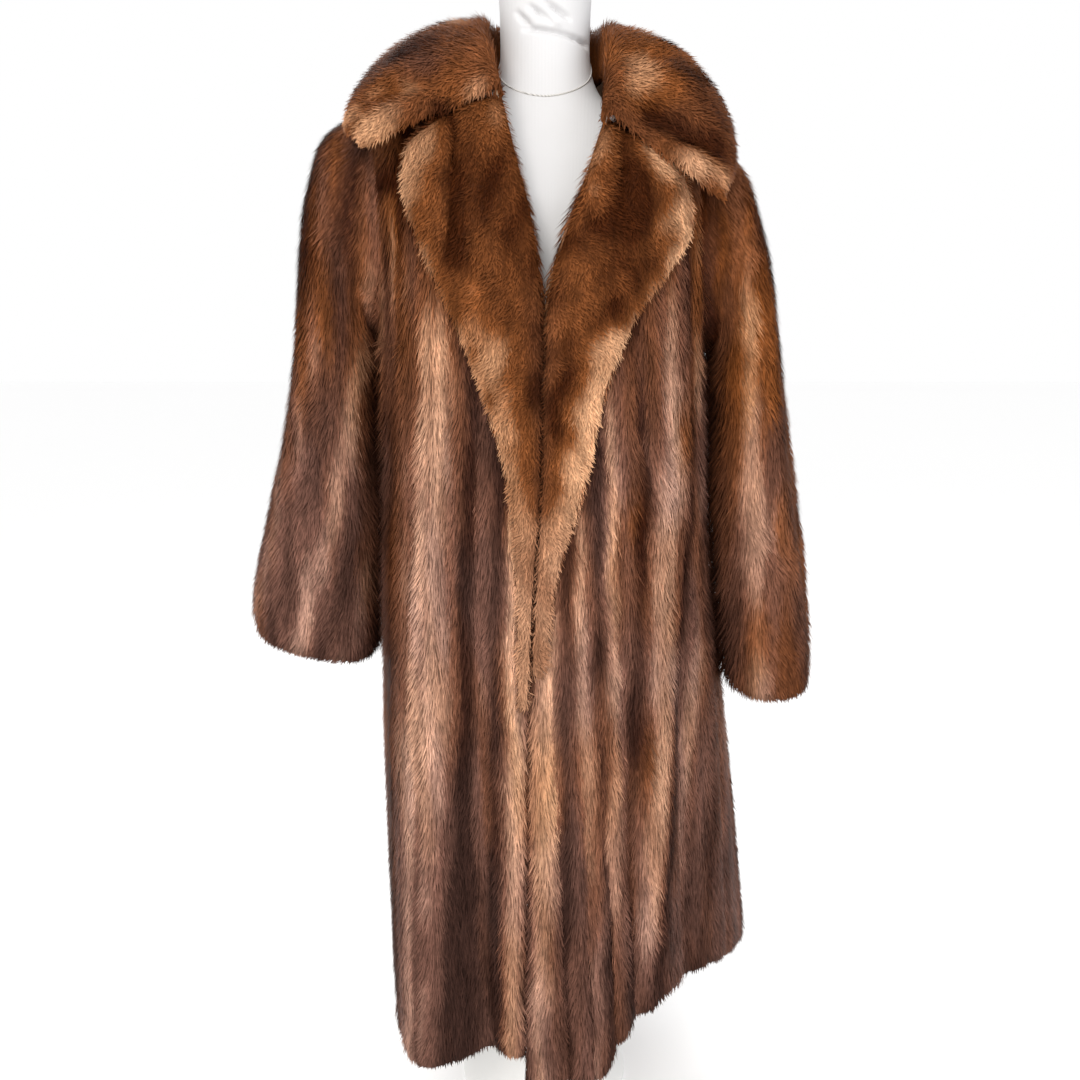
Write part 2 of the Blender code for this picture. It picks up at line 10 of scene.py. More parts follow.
import bpy
import numpy as np
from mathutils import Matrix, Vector


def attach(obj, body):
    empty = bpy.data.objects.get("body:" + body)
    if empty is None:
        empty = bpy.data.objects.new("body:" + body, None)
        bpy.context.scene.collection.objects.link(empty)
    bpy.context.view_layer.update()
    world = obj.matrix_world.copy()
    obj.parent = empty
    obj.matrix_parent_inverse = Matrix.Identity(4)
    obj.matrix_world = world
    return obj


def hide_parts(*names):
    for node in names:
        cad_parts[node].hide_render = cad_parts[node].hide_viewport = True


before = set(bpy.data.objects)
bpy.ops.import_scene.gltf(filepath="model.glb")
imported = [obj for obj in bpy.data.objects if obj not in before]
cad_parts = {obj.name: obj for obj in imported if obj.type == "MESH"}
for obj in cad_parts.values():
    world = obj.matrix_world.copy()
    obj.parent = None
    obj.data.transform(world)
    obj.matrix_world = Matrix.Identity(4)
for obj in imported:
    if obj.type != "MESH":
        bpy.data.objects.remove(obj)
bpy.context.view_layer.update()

# ------------------------------------------------------------------ floor, light and camera
# A plain pale floor under a pale surround, lit as in a small photo studio: a large soft box in
# front, a weaker one beside it, and one behind that parts the fur's outline from the surround.


def linear(hex_colour):
    """The opaque linear colour of an sRGB hex value."""
    parts = [int(hex_colour[i : i + 2], 16) / 255 for i in (1, 3, 5)]
    return [c / 12.92 if c <= 0.04045 else ((c + 0.055) / 1.055) ** 2.4 for c in parts] + [1.0]


def fill(node, inputs):
    """Fills a node's inputs with values or links. A node stands for its first output."""
    for name, value in dict(inputs).items():
        if isinstance(value, bpy.types.Node):
            value = value.outputs[0]
        if isinstance(value, bpy.types.NodeSocket):
            node.id_data.links.new(value, node.inputs[name])
        else:
            node.inputs[name].default_value = value


def add_node(tree, kind, inputs=(), **settings):
    """Adds a node to a tree, with its settings and what its inputs are filled with."""
    node = tree.nodes.new(kind)
    for key, value in settings.items():
        setattr(node, key, value)
    fill(node, inputs)
    return node


def new_material(name, colour, roughness, **inputs):
    """A material with its tree and its main shader, for the section to add to."""
    material = bpy.data.materials.new(name)
    material.use_nodes = True
    material.diffuse_color = linear(colour)
    shader = material.node_tree.nodes["Principled BSDF"]
    fill(shader, {"Base Color": linear(colour), "Roughness": roughness})
    fill(shader, {socket.replace("_", " "): value for socket, value in inputs.items()})
    return material, material.node_tree, shader


def add_object(name, data):
    obj = bpy.data.objects.new(name, data)
    bpy.context.scene.collection.objects.link(obj)
    return obj


def add_mesh(name, points, faces, *materials):
    """A smooth mesh object in the scene."""
    mesh = bpy.data.meshes.new(name)
    mesh.from_pydata(points, [], faces)
    for material in materials:
        mesh.materials.append(material)
    mesh.shade_smooth()
    return add_object(name, mesh)


def table(columns, *rows):
    """Rows of values with named columns."""
    row_type = namedtuple("Row", columns)
    return [row_type(*row) for row in rows]


FLOOR_SIZE = 30.0
FLOOR_WHITES = (0.975, 0.995)  # linear: how much light it gives back from place to place
floor_paint, tree, shader = new_material("matt white floor paint", "#F4F4F5", 0.85)
grain = add_node(tree, "ShaderNodeTexNoise", {"Scale": 3.0, "Detail": 3.0})
dim, bright = [(white, white, white, 1) for white in FLOOR_WHITES]
tint = add_node(tree, "ShaderNodeMix", {0: grain, 6: dim, 7: bright}, data_type="RGBA")
fill(shader, {"Base Color": tint.outputs[2]})
half = FLOOR_SIZE / 2
corners = [(-half, -half, 0), (half, -half, 0), (half, half, 0), (-half, half, 0)]
add_mesh("floor", corners, [(0, 1, 2, 3)], floor_paint)

world = bpy.data.worlds.new("pale surround")
world.use_nodes = True
fill(world.node_tree.nodes["Background"], {"Color": (1.0, 1.0, 1.0, 1.0), "Strength": 1.0})
bpy.context.scene.world = world

SOFT_BOXES = table(
    "name place target size watts colour",
    ("front soft box", (-0.55, -2.3, 2.15), (0.0, 0.0, 0.95), 1.1, 40.0, "#FFFAF4"),
    ("side soft box", (1.7, -1.7, 1.5), (0.0, 0.0, 0.85), 1.4, 12.0, "#F4F7FF"),
    ("back soft box", (-0.4, 1.9, 2.5), (0.0, 0.0, 0.9), 1.4, 22.0, "#FFFFFF"),
)
for box in SOFT_BOXES:
    light = bpy.data.lights.new(box.name, "AREA")
    light.size = box.size
    light.energy = box.watts
    light.color = linear(box.colour)[:3]
    lamp = add_object(box.name, light)
    lamp.location = box.place
    lamp.rotation_euler = (Vector(box.target) - lamp.location).to_track_quat("-Z", "Y").to_euler()

CAMERA_PLACE = (-0.006, -1.175, 1.140)
CAMERA_DOWN = 14.0  # degrees below level
camera = add_object("camera", bpy.data.cameras.new("camera"))
camera.data.lens = 30.0
camera.data.sensor_width = 36.0
camera.data.clip_end = 60.0
camera.location = CAMERA_PLACE
camera.rotation_euler = (math.radians(90.0 - CAMERA_DOWN), 0.0, 0.0)
bpy.context.scene.camera = camera
bpy.context.scene.view_settings.view_transform = "Standard"

# ------------------------------------------------------------------ foot and pole
# A spun steel foot and a steel tube, both coated in white enamel. The tube stands in the neck of
# the foot and carries the form.
ROUND_SIDES = 96
FOOT_PROFILE = table(
    "radius height",
    (0.121, 0), (0.1244, 0.0012), (0.125, 0.004), (0.1248, 0.0078), (0.1222, 0.0104),
    (0.112, 0.0162), (0.092, 0.033), (0.073, 0.056), (0.057, 0.083), (0.044, 0.112), (0.034, 0.142),
    (0.026, 0.17), (0.02, 0.193), (0.0194, 0.199),
)
TUBE_PROFILE = table("radius height", (0.015, 0.1994), (0.015, 0.6996))


def ring_faces(rings, sides):
    """Faces between rings of points that turn left as seen from above."""
    faces = []
    for low in range(0, (rings - 1) * sides, sides):
        for j in range(sides):
            k = (j + 1) % sides
            faces.append((low + j, low + k, low + sides + k, low + sides + j))
    return faces


def closed_stack(name, rings, material, sharp_degrees):
    """A smooth piece through rings of points, lowest first, closed at its ends."""
    rings = np.array(rings)
    count, sides = rings.shape[:2]
    first, last = range(sides), range((count - 1) * sides, count * sides)
    faces = [tuple(first)[::-1], *ring_faces(count, sides), tuple(last)]
    obj = add_mesh(name, rings.reshape(-1, 3), faces, material)
    obj.data.set_sharp_from_angle(angle=math.radians(sharp_degrees))
    return obj


def turned(name, profile, material):
    """A piece turned about the upright axis."""
    turns = np.linspace(0.0, 2 * math.pi, ROUND_SIDES, endpoint=False)
    rings = [[(r * math.cos(t), r * math.sin(t), z) for t in turns] for r, z in profile]
    return closed_stack(name, rings, material, sharp_degrees=40)


def fix(piece, node=None):
    """Fixes a piece to the one rigid body, in place of a solid if it has one."""
    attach(piece, "root")
    if node:
        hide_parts(node)


# Satin enamel on steel: a faint orange peel, a little dulled where hands and shoes reach it.
enamel, tree, shader = new_material("satin white enamel, sprayed", "#E9E9E7", 0.32, IOR=1.5)
place = add_node(tree, "ShaderNodeTexCoord").outputs["Object"]
wear = add_node(tree, "ShaderNodeTexNoise", {"Vector": place, "Scale": 14.0, "Detail": 4.0})
dull = add_node(tree, "ShaderNodeMapRange", {0: wear, 3: 0.26, 4: 0.44})
peel = add_node(tree, "ShaderNodeTexNoise", {"Vector": place, "Scale": 450.0, "Detail": 1.0})
bump = add_node(tree, "ShaderNodeBump", {"Height": peel, "Strength": 0.08, "Distance": 0.0004})
fill(shader, {"Roughness": dull, "Normal": bump})

fix(turned("foot", FOOT_PROFILE, enamel), "base")
fix(turned("tube", TUBE_PROFILE, enamel), "pole")

# ------------------------------------------------------------------ dress form
# A limbless form of hard foam under a tight cover of off-white cotton jersey, joined at the base
# of the neck by a thin corded seam, with a turned wooden cap on the neck. The cover is stretched
# smooth, apart from a few slack creases on the wearer's left of the neck.
FORM = table(
    "height half_width front back",
    (0.7, 0.12, 0.085, 0.085), (0.715, 0.14, 0.1, 0.1), (0.78, 0.158, 0.11, 0.115),
    (0.86, 0.155, 0.108, 0.118), (0.98, 0.122, 0.095, 0.085), (1.08, 0.135, 0.112, 0.088),
    (1.18, 0.152, 0.122, 0.098), (1.26, 0.164, 0.114, 0.1), (1.31, 0.166, 0.092, 0.088),
    (1.34, 0.146, 0.078, 0.07), (1.365, 0.104, 0.068, 0.058), (1.388, 0.07, 0.06, 0.052),
    (1.42, 0.055, 0.055, 0.05), (1.47, 0.053, 0.053, 0.05), (1.512, 0.055, 0.054, 0.052),
)
FORM_SQUARE = 2.2  # 2 for an ellipse, more for a squarer section
FORM_SIDES = 168
BODY_LEVELS, NECK_LEVELS = 96, 90
NECK_FOOT = 1.380
UNDERSIDE_RINGS = table("shrink rise", (0.25, 0), (0.6, 0), (0.9, 0), (0.975, 0.0004))
SEAM_FRONT, SEAM_BACK = 1.382, 1.462  # height of the neck seam
SEAM_SAG = 0.35  # how much sooner the seam climbs than a level cut would
CORD_RADIUS, CORD_SIDES = 0.0011, 6
CAP_TOP, CAP_GAP = 1.530, 0.0004
CAP_RINGS = (0.0, 0.03, 0.25, 0.5, 0.72, 0.88, 0.97, 1.0)  # shares of its height
CAP_FIT, CAP_BEVEL, CAP_DOME = 0.97, 0.985, 0.7  # its width, its lower edge, how far it rounds off

# Soft troughs and ridges: each runs between two places, given as shares of the rows and of the
# columns of a grid, with its half width and its height out of the surface.
CREASE = "row_a column_a row_b column_b width out"
NECK_CREASES = table(
    CREASE,
    (0.791, 0.684, 0.775, 0.77, 0.003, -0.0086), (0.775, 0.77, 0.76, 0.86, 0.003, -0.0086),
    (0.76, 0.86, 0.747, 0.938, 0.0032, -0.0084), (0.872, 0.698, 0.813, 0.779, 0.0028, -0.0084),
    (0.881, 0.759, 0.828, 0.836, 0.0028, -0.0084), (0.857, 0.653, 0.798, 0.708, 0.003, -0.0066),
    (0.845, 0.735, 0.8, 0.8, 0.0028, 0.0036), (0.97, 0.66, 0.915, 0.74, 0.0034, -0.0066),
)
CREASE_ENDS = 0.35  # share of its height that a crease keeps at its ends


def rows_at(rows, at):
    """The values of a table's rows at places between them, along a smooth curve."""
    rows = np.array(rows, float)
    keys = rows[:, 0]
    at = np.clip(at, keys[0], keys[-1])
    low = np.clip(np.searchsorted(keys, at, side="right") - 1, 0, len(keys) - 2)
    before, after = np.maximum(low - 1, 0), np.minimum(low + 2, len(keys) - 1)
    span = (keys[low + 1] - keys[low])[..., None]
    t = (at - keys[low])[..., None] / span
    slope_in = (rows[low + 1] - rows[before]) / (keys[low + 1] - keys[before])[..., None] * span
    slope_out = (rows[after] - rows[low]) / (keys[after] - keys[low])[..., None] * span
    return (
        (2 * t**3 - 3 * t**2 + 1) * rows[low]
        + (t**3 - 2 * t**2 + t) * slope_in
        + (3 * t**2 - 2 * t**3) * rows[low + 1]
        + (t**3 - t**2) * slope_out
    )


def normalized(vectors):
    return vectors / np.maximum(np.linalg.norm(vectors, axis=-1, keepdims=True), 1e-9)


def bell(value):
    """1 at 0, and softly less on both sides."""
    return np.exp(-(value**2))


def directions(grid, closed_round=False):
    """Unit vectors along the rows, along the columns and out of a grid of points."""
    if closed_round:
        across = np.roll(grid, -1, axis=1) - np.roll(grid, 1, axis=1)
    else:
        across = np.gradient(grid, axis=1)
    along = np.gradient(grid, axis=0)
    return normalized(across), normalized(along), normalized(np.cross(across, along))


def creased(grid, creases, closed_round=False):
    """The grid with soft troughs and ridges along the creases."""
    rows, columns = grid.shape[:2]
    push = np.zeros((rows, columns))
    for c in creases:
        a = grid[round(c.row_a * (rows - 1)), round(c.column_a * (columns - 1))]
        b = grid[round(c.row_b * (rows - 1)), round(c.column_b * (columns - 1))]
        line = b - a
        t = np.clip((grid - a) @ line / (line @ line), 0.0, 1.0)
        far = np.linalg.norm(grid - a - t[..., None] * line, axis=-1)
        fade = CREASE_ENDS + (1 - CREASE_ENDS) * np.sin(math.pi * t)
        push += c.out * fade * bell(far / c.width)
    return grid + directions(grid, closed_round)[2] * push[..., None]


def squared_radius(across, along, square):
    """Distance to the edge of a rounded square, in the direction of its two shares."""
    return (np.abs(across) ** square + np.abs(along) ** square) ** (-1 / square)


def form_ring(values, turns, shrink=1.0):
    """Points round the form at one height."""
    height, half_width, front, back = values
    reach = np.where(np.sin(turns) > 0, back, front)
    radius = squared_radius(np.cos(turns) / half_width, np.sin(turns) / reach, FORM_SQUARE) * shrink
    return np.stack([radius * np.cos(turns), radius * np.sin(turns), np.full_like(turns, height)], -1)


# Cotton jersey: a matt knit whose wales are 0.8 mm apart in the cloth, drawn here 1.6 mm apart so
# that they show as the faint upright ribs that the eye finds close up.
WALE = 0.0016
WAVES = 3.2  # waves of the texture in a metre at scale 1
jersey, tree, shader = new_material(
    "off-white cotton jersey, knitted", "#E2E0DC", 0.88, Sheen_Weight=0.15, Sheen_Roughness=0.5
)
place = add_node(tree, "ShaderNodeTexCoord").outputs["Object"]
soil = add_node(tree, "ShaderNodeTexNoise", {"Vector": place, "Scale": 9.0, "Detail": 4.0})
tones = {0: soil, 6: linear("#C9C9CA"), 7: linear("#D5D5D6")}
tint = add_node(tree, "ShaderNodeMix", tones, data_type="RGBA")
ribs = {"Vector": place, "Scale": 1 / WALE / WAVES, "Distortion": 0.6}
wales = add_node(tree, "ShaderNodeTexWave", ribs, bands_direction="X")
loops = add_node(tree, "ShaderNodeTexNoise", {"Vector": place, "Scale": 700.0, "Detail": 1.0})
knit = add_node(tree, "ShaderNodeMath", {0: wales.outputs[1], 1: loops}, operation="ADD")
bump = add_node(tree, "ShaderNodeBump", {"Height": knit, "Strength": 0.25, "Distance": 0.0003})
fill(shader, {"Base Color": tint.outputs[2], "Normal": bump})

turns = np.linspace(0.0, 2 * math.pi, FORM_SIDES, endpoint=False)
levels = np.append(
    np.linspace(FORM[0].height, NECK_FOOT, BODY_LEVELS, endpoint=False),
    np.linspace(NECK_FOOT, FORM[-1].height, NECK_LEVELS + 1),
)
grid = np.array([form_ring(values, turns) for values in rows_at(FORM, levels)])
grid = creased(grid, NECK_CREASES, closed_round=True)
underside = np.array([form_ring(FORM[0], turns, ring.shrink) for ring in UNDERSIDE_RINGS])
underside[:, :, 2] += np.array([ring.rise for ring in UNDERSIDE_RINGS])[:, None]
cover = closed_stack("form_cover", [*underside, *grid[1:]], jersey, sharp_degrees=50)

# Polyester cord, twisted: two pale tones wind round it.
cord, tree, shader = new_material("twisted polyester seam cord", "#BDBBB6", 0.6)
place = add_node(tree, "ShaderNodeTexCoord").outputs["Object"]
winding = {"Vector": place, "Scale": 160.0}
twist = add_node(tree, "ShaderNodeTexWave", winding, bands_direction="DIAGONAL")
tones = {0: twist.outputs[1], 6: linear("#A5A39E"), 7: linear("#DCDAD6")}
tint = add_node(tree, "ShaderNodeMix", tones, data_type="RGBA")
fill(shader, {"Base Color": tint.outputs[2]})
share = (1 - np.cos(turns + math.pi / 2)) / 2
share = share * (1 + SEAM_SAG - SEAM_SAG * share)
heights = SEAM_FRONT + (SEAM_BACK - SEAM_FRONT) * share
seam_line = np.array([form_ring(rows_at(FORM, h), turns)[i] for i, h in enumerate(heights)])
sideways = normalized(seam_line * (1, 1, 0))
strands = []
for k in range(CORD_SIDES):
    a = 2 * math.pi * k / CORD_SIDES
    strands.append(seam_line + (sideways * math.cos(a) + np.array((0, 0, 1)) * math.sin(a)) * CORD_RADIUS)
points = np.array(strands).reshape(-1, 3)
faces = [[index % len(points) for index in face] for face in ring_faces(CORD_SIDES + 1, FORM_SIDES)]
neck_seam = add_mesh("neck_seam", points, faces, cord)

# Turned beech under clear varnish: pale straight grain, finely ringed, with a soft gloss.
beech, tree, shader = new_material("beech, turned and varnished", "#C9A87C", 0.38, Coat_Weight=0.3)
place = add_node(tree, "ShaderNodeTexCoord").outputs["Object"]
spread = add_node(tree, "ShaderNodeMapping", {"Vector": place, "Scale": (14.0, 90.0, 90.0)})
grain = add_node(tree, "ShaderNodeTexNoise", {"Vector": spread, "Scale": 1.0, "Detail": 4.0})
tones = {0: grain, 6: linear("#B48D5E"), 7: linear("#DABF95")}
tint = add_node(tree, "ShaderNodeMix", tones, data_type="RGBA")
fill(shader, {"Base Color": tint.outputs[2]})
cap_foot = FORM[-1].height + CAP_GAP
rings = []
for share in CAP_RINGS:
    shrink = CAP_FIT * math.sqrt(1 - CAP_DOME * share**2) * (1.0 if share else CAP_BEVEL)
    height = cap_foot + (CAP_TOP - cap_foot) * share
    rings.append(form_ring((height, *FORM[-1][1:]), turns, shrink))
cap = closed_stack("cap", rings, beech, sharp_degrees=35)

fix(cover, "torso")
fix(neck_seam)
fix(cap, "neck_cap")

# ------------------------------------------------------------------ back and fronts
# Three panels of let-out mink: narrow strips of pelt, sewn side by side, run unbroken from the
# shoulder to the hem. They are sewn at the shoulders and down the sides, and hang in soft folds.
WALL = 0.012
LEATHER = 0.0006  # where the skin side lies over the solid's inner face
UNDERFUR = 0.0082  # top of the dense underfur; the guard hairs stand over it
HEM_TURN = 0.012  # the skin ends this much above the tips of the fur
SEAM = 0.0010
FRONT_GAP = 0.0014
HEM = 0.19
ARMPIT = 1.105
SHOULDER_TIP = 1.353
NECK_SEAM = 1.396
ARMHOLE_DEPTH = 0.082
LEAN, LEAN_START, LEAN_RISE = 0.055, 0.850, 0.35  # the coat sits down on one shoulder
SKIRT_ROWS, ARMHOLE_ROWS, SHOULDER_ROWS = 62, 24, 8
FRONT_COLUMNS, BACK_COLUMNS = 90, 132
ROW_LENGTH, COLUMN_LENGTH = 0.013, 0.0055  # of the body's grids, about
CENTRE_FRONT = -14.0  # degrees round, at the hem
SIDE, FRONT_BLEND = 88, 16  # degrees round to the side seams, and over which the fronts change
EDGE_WIDTH, EDGE_SHARE = 0.010, 0.25  # how far in a wall thins towards its edge, and what is left
HALVINGS = 34  # of a search's range

SECTIONS = table(
    "height half_width front back centre square",
    (0.19, 0.244, 0.226, 0.225, 0.034, 2.1), (0.45, 0.232, 0.216, 0.208, 0.021, 2.1),
    (0.65, 0.22, 0.206, 0.19, 0.011, 2.2), (0.8, 0.206, 0.198, 0.175, 0.004, 2.3),
    (0.95, 0.196, 0.188, 0.16, 0, 2.4), (1.1, 0.192, 0.174, 0.15, -0.003, 2.4),
    (1.2, 0.194, 0.156, 0.146, -0.005, 2.5), (1.29, 0.197, 0.132, 0.134, -0.008, 2.5),
    (1.335, 0.194, 0.112, 0.11, -0.008, 2.4), (1.36, 0.174, 0.098, 0.088, -0.006, 2.3),
    (1.38, 0.128, 0.087, 0.072, -0.003, 2.2), (1.398, 0.094, 0.078, 0.062, 0, 2.1),
    (1.415, 0.074, 0.066, 0.055, 0, 2),
)
# Degrees round from the centre front, height of the ridge at the hem, half width in degrees, and
# the height where the fold dies out. The narrow folds come after the main ones.
FOLDS = table(
    "degrees ridge width top",
    (-46, 0.038, 17, 1.1), (-26, -0.02, 6, 1.15), (-16, 0.008, 5, 1.05), (1, -0.008, 4, 0.95),
    (11, 0.008, 5, 1), (23, -0.012, 5, 1), (50, -0.034, 16, 1), (34, 0.012, 5, 1.05),
    (62, 0.008, 6, 0.95), (-100, 0.01, 9, 0.85), (97, 0.014, 13, 0.9), (122, -0.014, 9, 0.8),
    (142, 0.02, 10, 1.05), (163, -0.014, 8, 0.85), (182, 0.014, 9, 1.1), (201, -0.015, 8, 0.9),
    (222, 0.02, 11, 1), (243, -0.012, 8, 0.8), (-63, -0.006, 3, 1), (-53, -0.005, 2.2, 1.08),
    (-37, -0.004, 2.4, 0.85), (-30, -0.007, 2.2, 1.2), (-21, 0.005, 2.4, 0.85),
    (-11.5, 0.003, 1.8, 0.7), (-5.5, 0.005, 2.2, 0.8), (-1, -0.006, 1.8, 0.9), (4, 0.005, 2, 0.75),
    (8, -0.006, 1.7, 0.95), (14.5, -0.006, 1.8, 0.8), (17.5, 0.006, 2, 0.9),
    (27.5, 0.008, 2.4, 0.8), (39.5, 0.009, 2.6, 0.85), (45, -0.005, 2.2, 0.95),
    (56, 0.008, 2.6, 0.75), (70, -0.006, 2.6, 0.9), (88, 0.006, 3, 0.7), (108, -0.005, 3, 0.95),
    (132, 0.005, 2.6, 0.85), (152, -0.006, 2.6, 1.1), (172, 0.005, 2.8, 0.75),
    (191, -0.005, 2.6, 1), (211, 0.006, 2.8, 0.8), (232, -0.006, 2.6, 1.05), (254, 0.005, 3, 0.8),
)
HEM_RIGHT = table(
    "degrees height",
    (-180, 0.2), (-120, 0.205), (-85, 0.2), (-60, 0.185), (-45, 0.175), (-33, 0.2), (-20, 0.214),
    (-8, 0.225),
)
HEM_LEFT = table(
    "degrees height",
    (-12, 0.175), (8, 0.18), (15, 0.228), (24, 0.255), (34, 0.285), (48, 0.26), (60, 0.264),
    (90, 0.215), (130, 0.205), (180, 0.2),
)
FRONT_EDGES = table(
    "height right left",
    (0.1, -0.024, -0.024), (0.45, -0.022, -0.022), (0.7, -0.018, -0.018), (0.88, -0.01, -0.01),
    (1.1, -0.003, -0.003), (1.15, -0.003, -0.001), (1.22, -0.012, 0.016), (1.3, -0.034, 0.048),
    (1.34, -0.054, 0.072), (1.37, -0.066, 0.08), (1.4, -0.07, 0.08),
)
CREASES_BACK = table(
    CREASE,
    (0.6, 0.12, 0.88, 0.18, 0.011, -0.007), (0.64, 0.24, 0.92, 0.28, 0.01, 0.005),
    (0.55, 0.42, 0.86, 0.45, 0.011, -0.006), (0.62, 0.6, 0.93, 0.56, 0.01, -0.006),
    (0.5, 0.74, 0.8, 0.7, 0.011, 0.005), (0.63, 0.88, 0.9, 0.82, 0.011, -0.007),
)
CREASES_RIGHT = table(
    CREASE,
    (0.74, 0.3, 0.95, 0.26, 0.009, -0.007), (0.66, 0.44, 0.9, 0.4, 0.008, -0.006),
    (0.7, 0.37, 0.92, 0.33, 0.009, 0.005), (0.55, 0.2, 0.82, 0.14, 0.01, -0.006),
    (0.4, 0.6, 0.62, 0.62, 0.009, -0.004),
)
CREASES_LEFT = table(
    CREASE,
    (0.52, 0.46, 0.6, 0.36, 0.01, -0.007), (0.5, 0.5, 0.58, 0.42, 0.008, 0.005),
    (0.78, 0.62, 0.92, 0.6, 0.009, -0.006), (0.66, 0.8, 0.9, 0.7, 0.01, -0.006),
    (0.4, 0.25, 0.62, 0.22, 0.009, -0.004),
)

BROWN = ("#3A2620", "#745145", "#CA9F8A")  # dark, middle and light of the body's fur
GOLD = ("#351504", "#804A25", "#DCA87E")  # the same of the golden fur at the edges
STRIP_DEGREES = 11.0  # one pelt strip, about 45 mm at the hem
BODY_LIGHT, BODY_GOLD = 0.44, 0.18
CHEST, CHEST_CONTRAST = 0.98, 0.75  # from this height the stripes are fainter
LOW_TOP, LOW_DIM_RIGHT, LOW_DIM_LEFT = 0.66, 0.29, 0.16  # below this height the fur is darker
STREAK, STREAK_WIDTH, STREAK_DIM = -40, 9, 0.07  # a darker streak up the chest, in degrees
# Painted shadow that the lapels cast on the fronts beside their outer edges.
PAINTED_LAPEL_SHADOW, PAINTED_LAPEL_SHADOW_WIDTH = 0.24, 0.015  # how much darker the fronts are beside a lapel
# Stripes where the pelts are lighter or darker: degrees round at the lower and at the upper
# height, half width in degrees, how much lighter and how much more golden. The body's stripes
# also paint the light on the ridges of the folds and the shade in their troughs.
STRIPE = "low high width light gold"
STRIPE_LOW, STRIPE_HIGH = 0.45, 0.80
BODY_STRIPES = table(
    STRIPE,
    (-62, -58, 6, -0.24, 0.2), (-43.5, -39.5, 6.8, 0.47, -0.1), (-42.6, -40.2, 0.8, -0.24, 0),
    (-33, -27.5, 3.4, -0.5, 0), (-19.5, -16.5, 2, -0.37, 0), (-15.4, -11.6, 2.8, 0.51, 0.44),
    (-11.6, -7, 0.8, -0.3, 0.1), (-6.5, 0, 3.8, 0.46, 0.5), (2.6, 6, 1.8, -0.4, 0),
    (9.6, 10.5, 2.4, 0.3, 0.1), (13.2, 15.4, 1.5, -0.38, 0), (16.5, 20.5, 2, 0.3, 0.25),
    (22.5, 29, 2.9, -0.4, 0.2), (28.5, 39, 5, 0.34, 0.1), (34, 48, 2, -0.44, 0),
    (46, 56, 4.5, 0.18, 0.1), (60, 70, 6.5, -0.19, 0.2),
)
# Spots on the fronts: place across and height, half width and half height, how much lighter and
# how much more golden. The first is painted shadow in the deep notch under the collar.
BODY_SPOTS = table(
    "x z width height light gold",
    (-0.176, 1.299, 0.021, 0.017, -0.9, 0), (-0.18, 1.2, 0.004, 0.06, -0.38, 0),
    (-0.165, 1.185, 0.03, 0.085, 0.26, 0), (-0.17, 1.21, 0.005, 0.055, 0.3, -0.2),
    (-0.16, 1.19, 0.004, 0.07, -0.36, 0), (-0.146, 1.17, 0.004, 0.06, -0.2, 0),
    (0.158, 1.01, 0.013, 0.034, -0.12, 0.45), (0.097, 0.928, 0.013, 0.03, -0.03, 0.42),
    (0.146, 0.945, 0.02, 0.034, 0.07, -0.4), (0.15, 0.788, 0.016, 0.038, 0, 0.45),
    (0.12, 0.64, 0.01, 0.05, -0.12, 0.3), (-0.185, 0.9, 0.01, 0.06, -0.12, 0.3),
)
# Soft changes with the height: where one starts, how far on it is full (less than 0 for lower
# down), how much lighter and how much more golden. Clouds are random, sized along each axis.
SHADE = "start over light gold"
BODY_SHADES = table(SHADE, (1.08, 0.12, -0.06, 0), (0.95, 0.25, 0, 0.4), (0.62, -0.3, 0, -0.28))
CLOUD = "size seed light gold"
BODY_CLOUDS = table(
    CLOUD,
    ((0.012, 0.03, 0.1), 5, 0.1, 0), ((0.03, 0.05, 0.05), 6, 0.05, 0),
    ((0.016, 0.04, 0.16), 7, 0, 0.26),
)
# Where the outer edges of the lapels lie over the fronts, which get a painted shadow beside them.
LAPEL_EDGES = table(
    "height right left",
    (0.9, -0.034, 0.027), (0.955, -0.038, 0.04), (1.055, -0.064, 0.061), (1.145, -0.104, 0.094),
    (1.195, -0.127, 0.13), (1.245, -0.146, 0.155), (1.3, -0.15, 0.158),
)


def ease(value):
    """0 below 0, 1 above 1, and a soft rise between."""
    value = np.clip(value, 0.0, 1.0)
    return value * value * (3 - 2 * value)


def rise(value, start, over):
    """0 up to a start, then a soft rise to 1."""
    return ease((value - start) / over)


def fall(value, end, over):
    """1, then a soft fall to 0 at an end."""
    return ease((end - value) / over)


def mix(first, second, share):
    return first * (1 - share) + second * share


def wrapped(degrees):
    """The same direction between -180 and 180 degrees."""
    return (degrees + 180) % 360 - 180


def body_inside(angle, height):
    """Points on the skin side of the coat's body, angle in radians round from the front."""
    _, half_width, front, back, centre, square = np.moveaxis(rows_at(SECTIONS, height), -1, 0)
    reach = np.where(np.cos(angle) > 0, front, back)
    radius = squared_radius(np.sin(angle) / half_width, np.cos(angle) / reach, square)
    for fold in FOLDS:
        turn = wrapped(np.degrees(angle) - fold.degrees)
        radius = radius + fold.ridge * fall(height, fold.top, fold.top - HEM) * bell(turn / fold.width)
    x = centre + radius * np.sin(angle)
    return np.stack([x, -radius * np.cos(angle), height - LEAN * x * rise(height, LEAN_START, LEAN_RISE)], -1)


def body_point(angle, height, out):
    """Points of the coat's body, moved out from its skin side."""
    step = 0.004
    across = body_inside(angle + step, height) - body_inside(angle - step, height)
    low, high = np.maximum(height - step, HEM - 0.1), np.minimum(height + step, SECTIONS[-1].height)
    along = body_inside(angle, high) - body_inside(angle, low)
    return body_inside(angle, height) + normalized(np.cross(across, along)) * np.asarray(out)[..., None]


def search(is_below, low, high):
    """The angles at which a test changes, each found by halving its span."""
    for _ in range(HALVINGS):
        middle = (low + high) / 2
        below = is_below(middle)
        low, high = np.where(below, middle, low), np.where(below, high, middle)
    return (low + high) / 2


def angle_at_x(height, x):
    quarter = np.full(np.shape(height), math.pi / 2)
    return search(lambda angle: body_inside(angle, height)[..., 0] < x, -quarter, quarter)


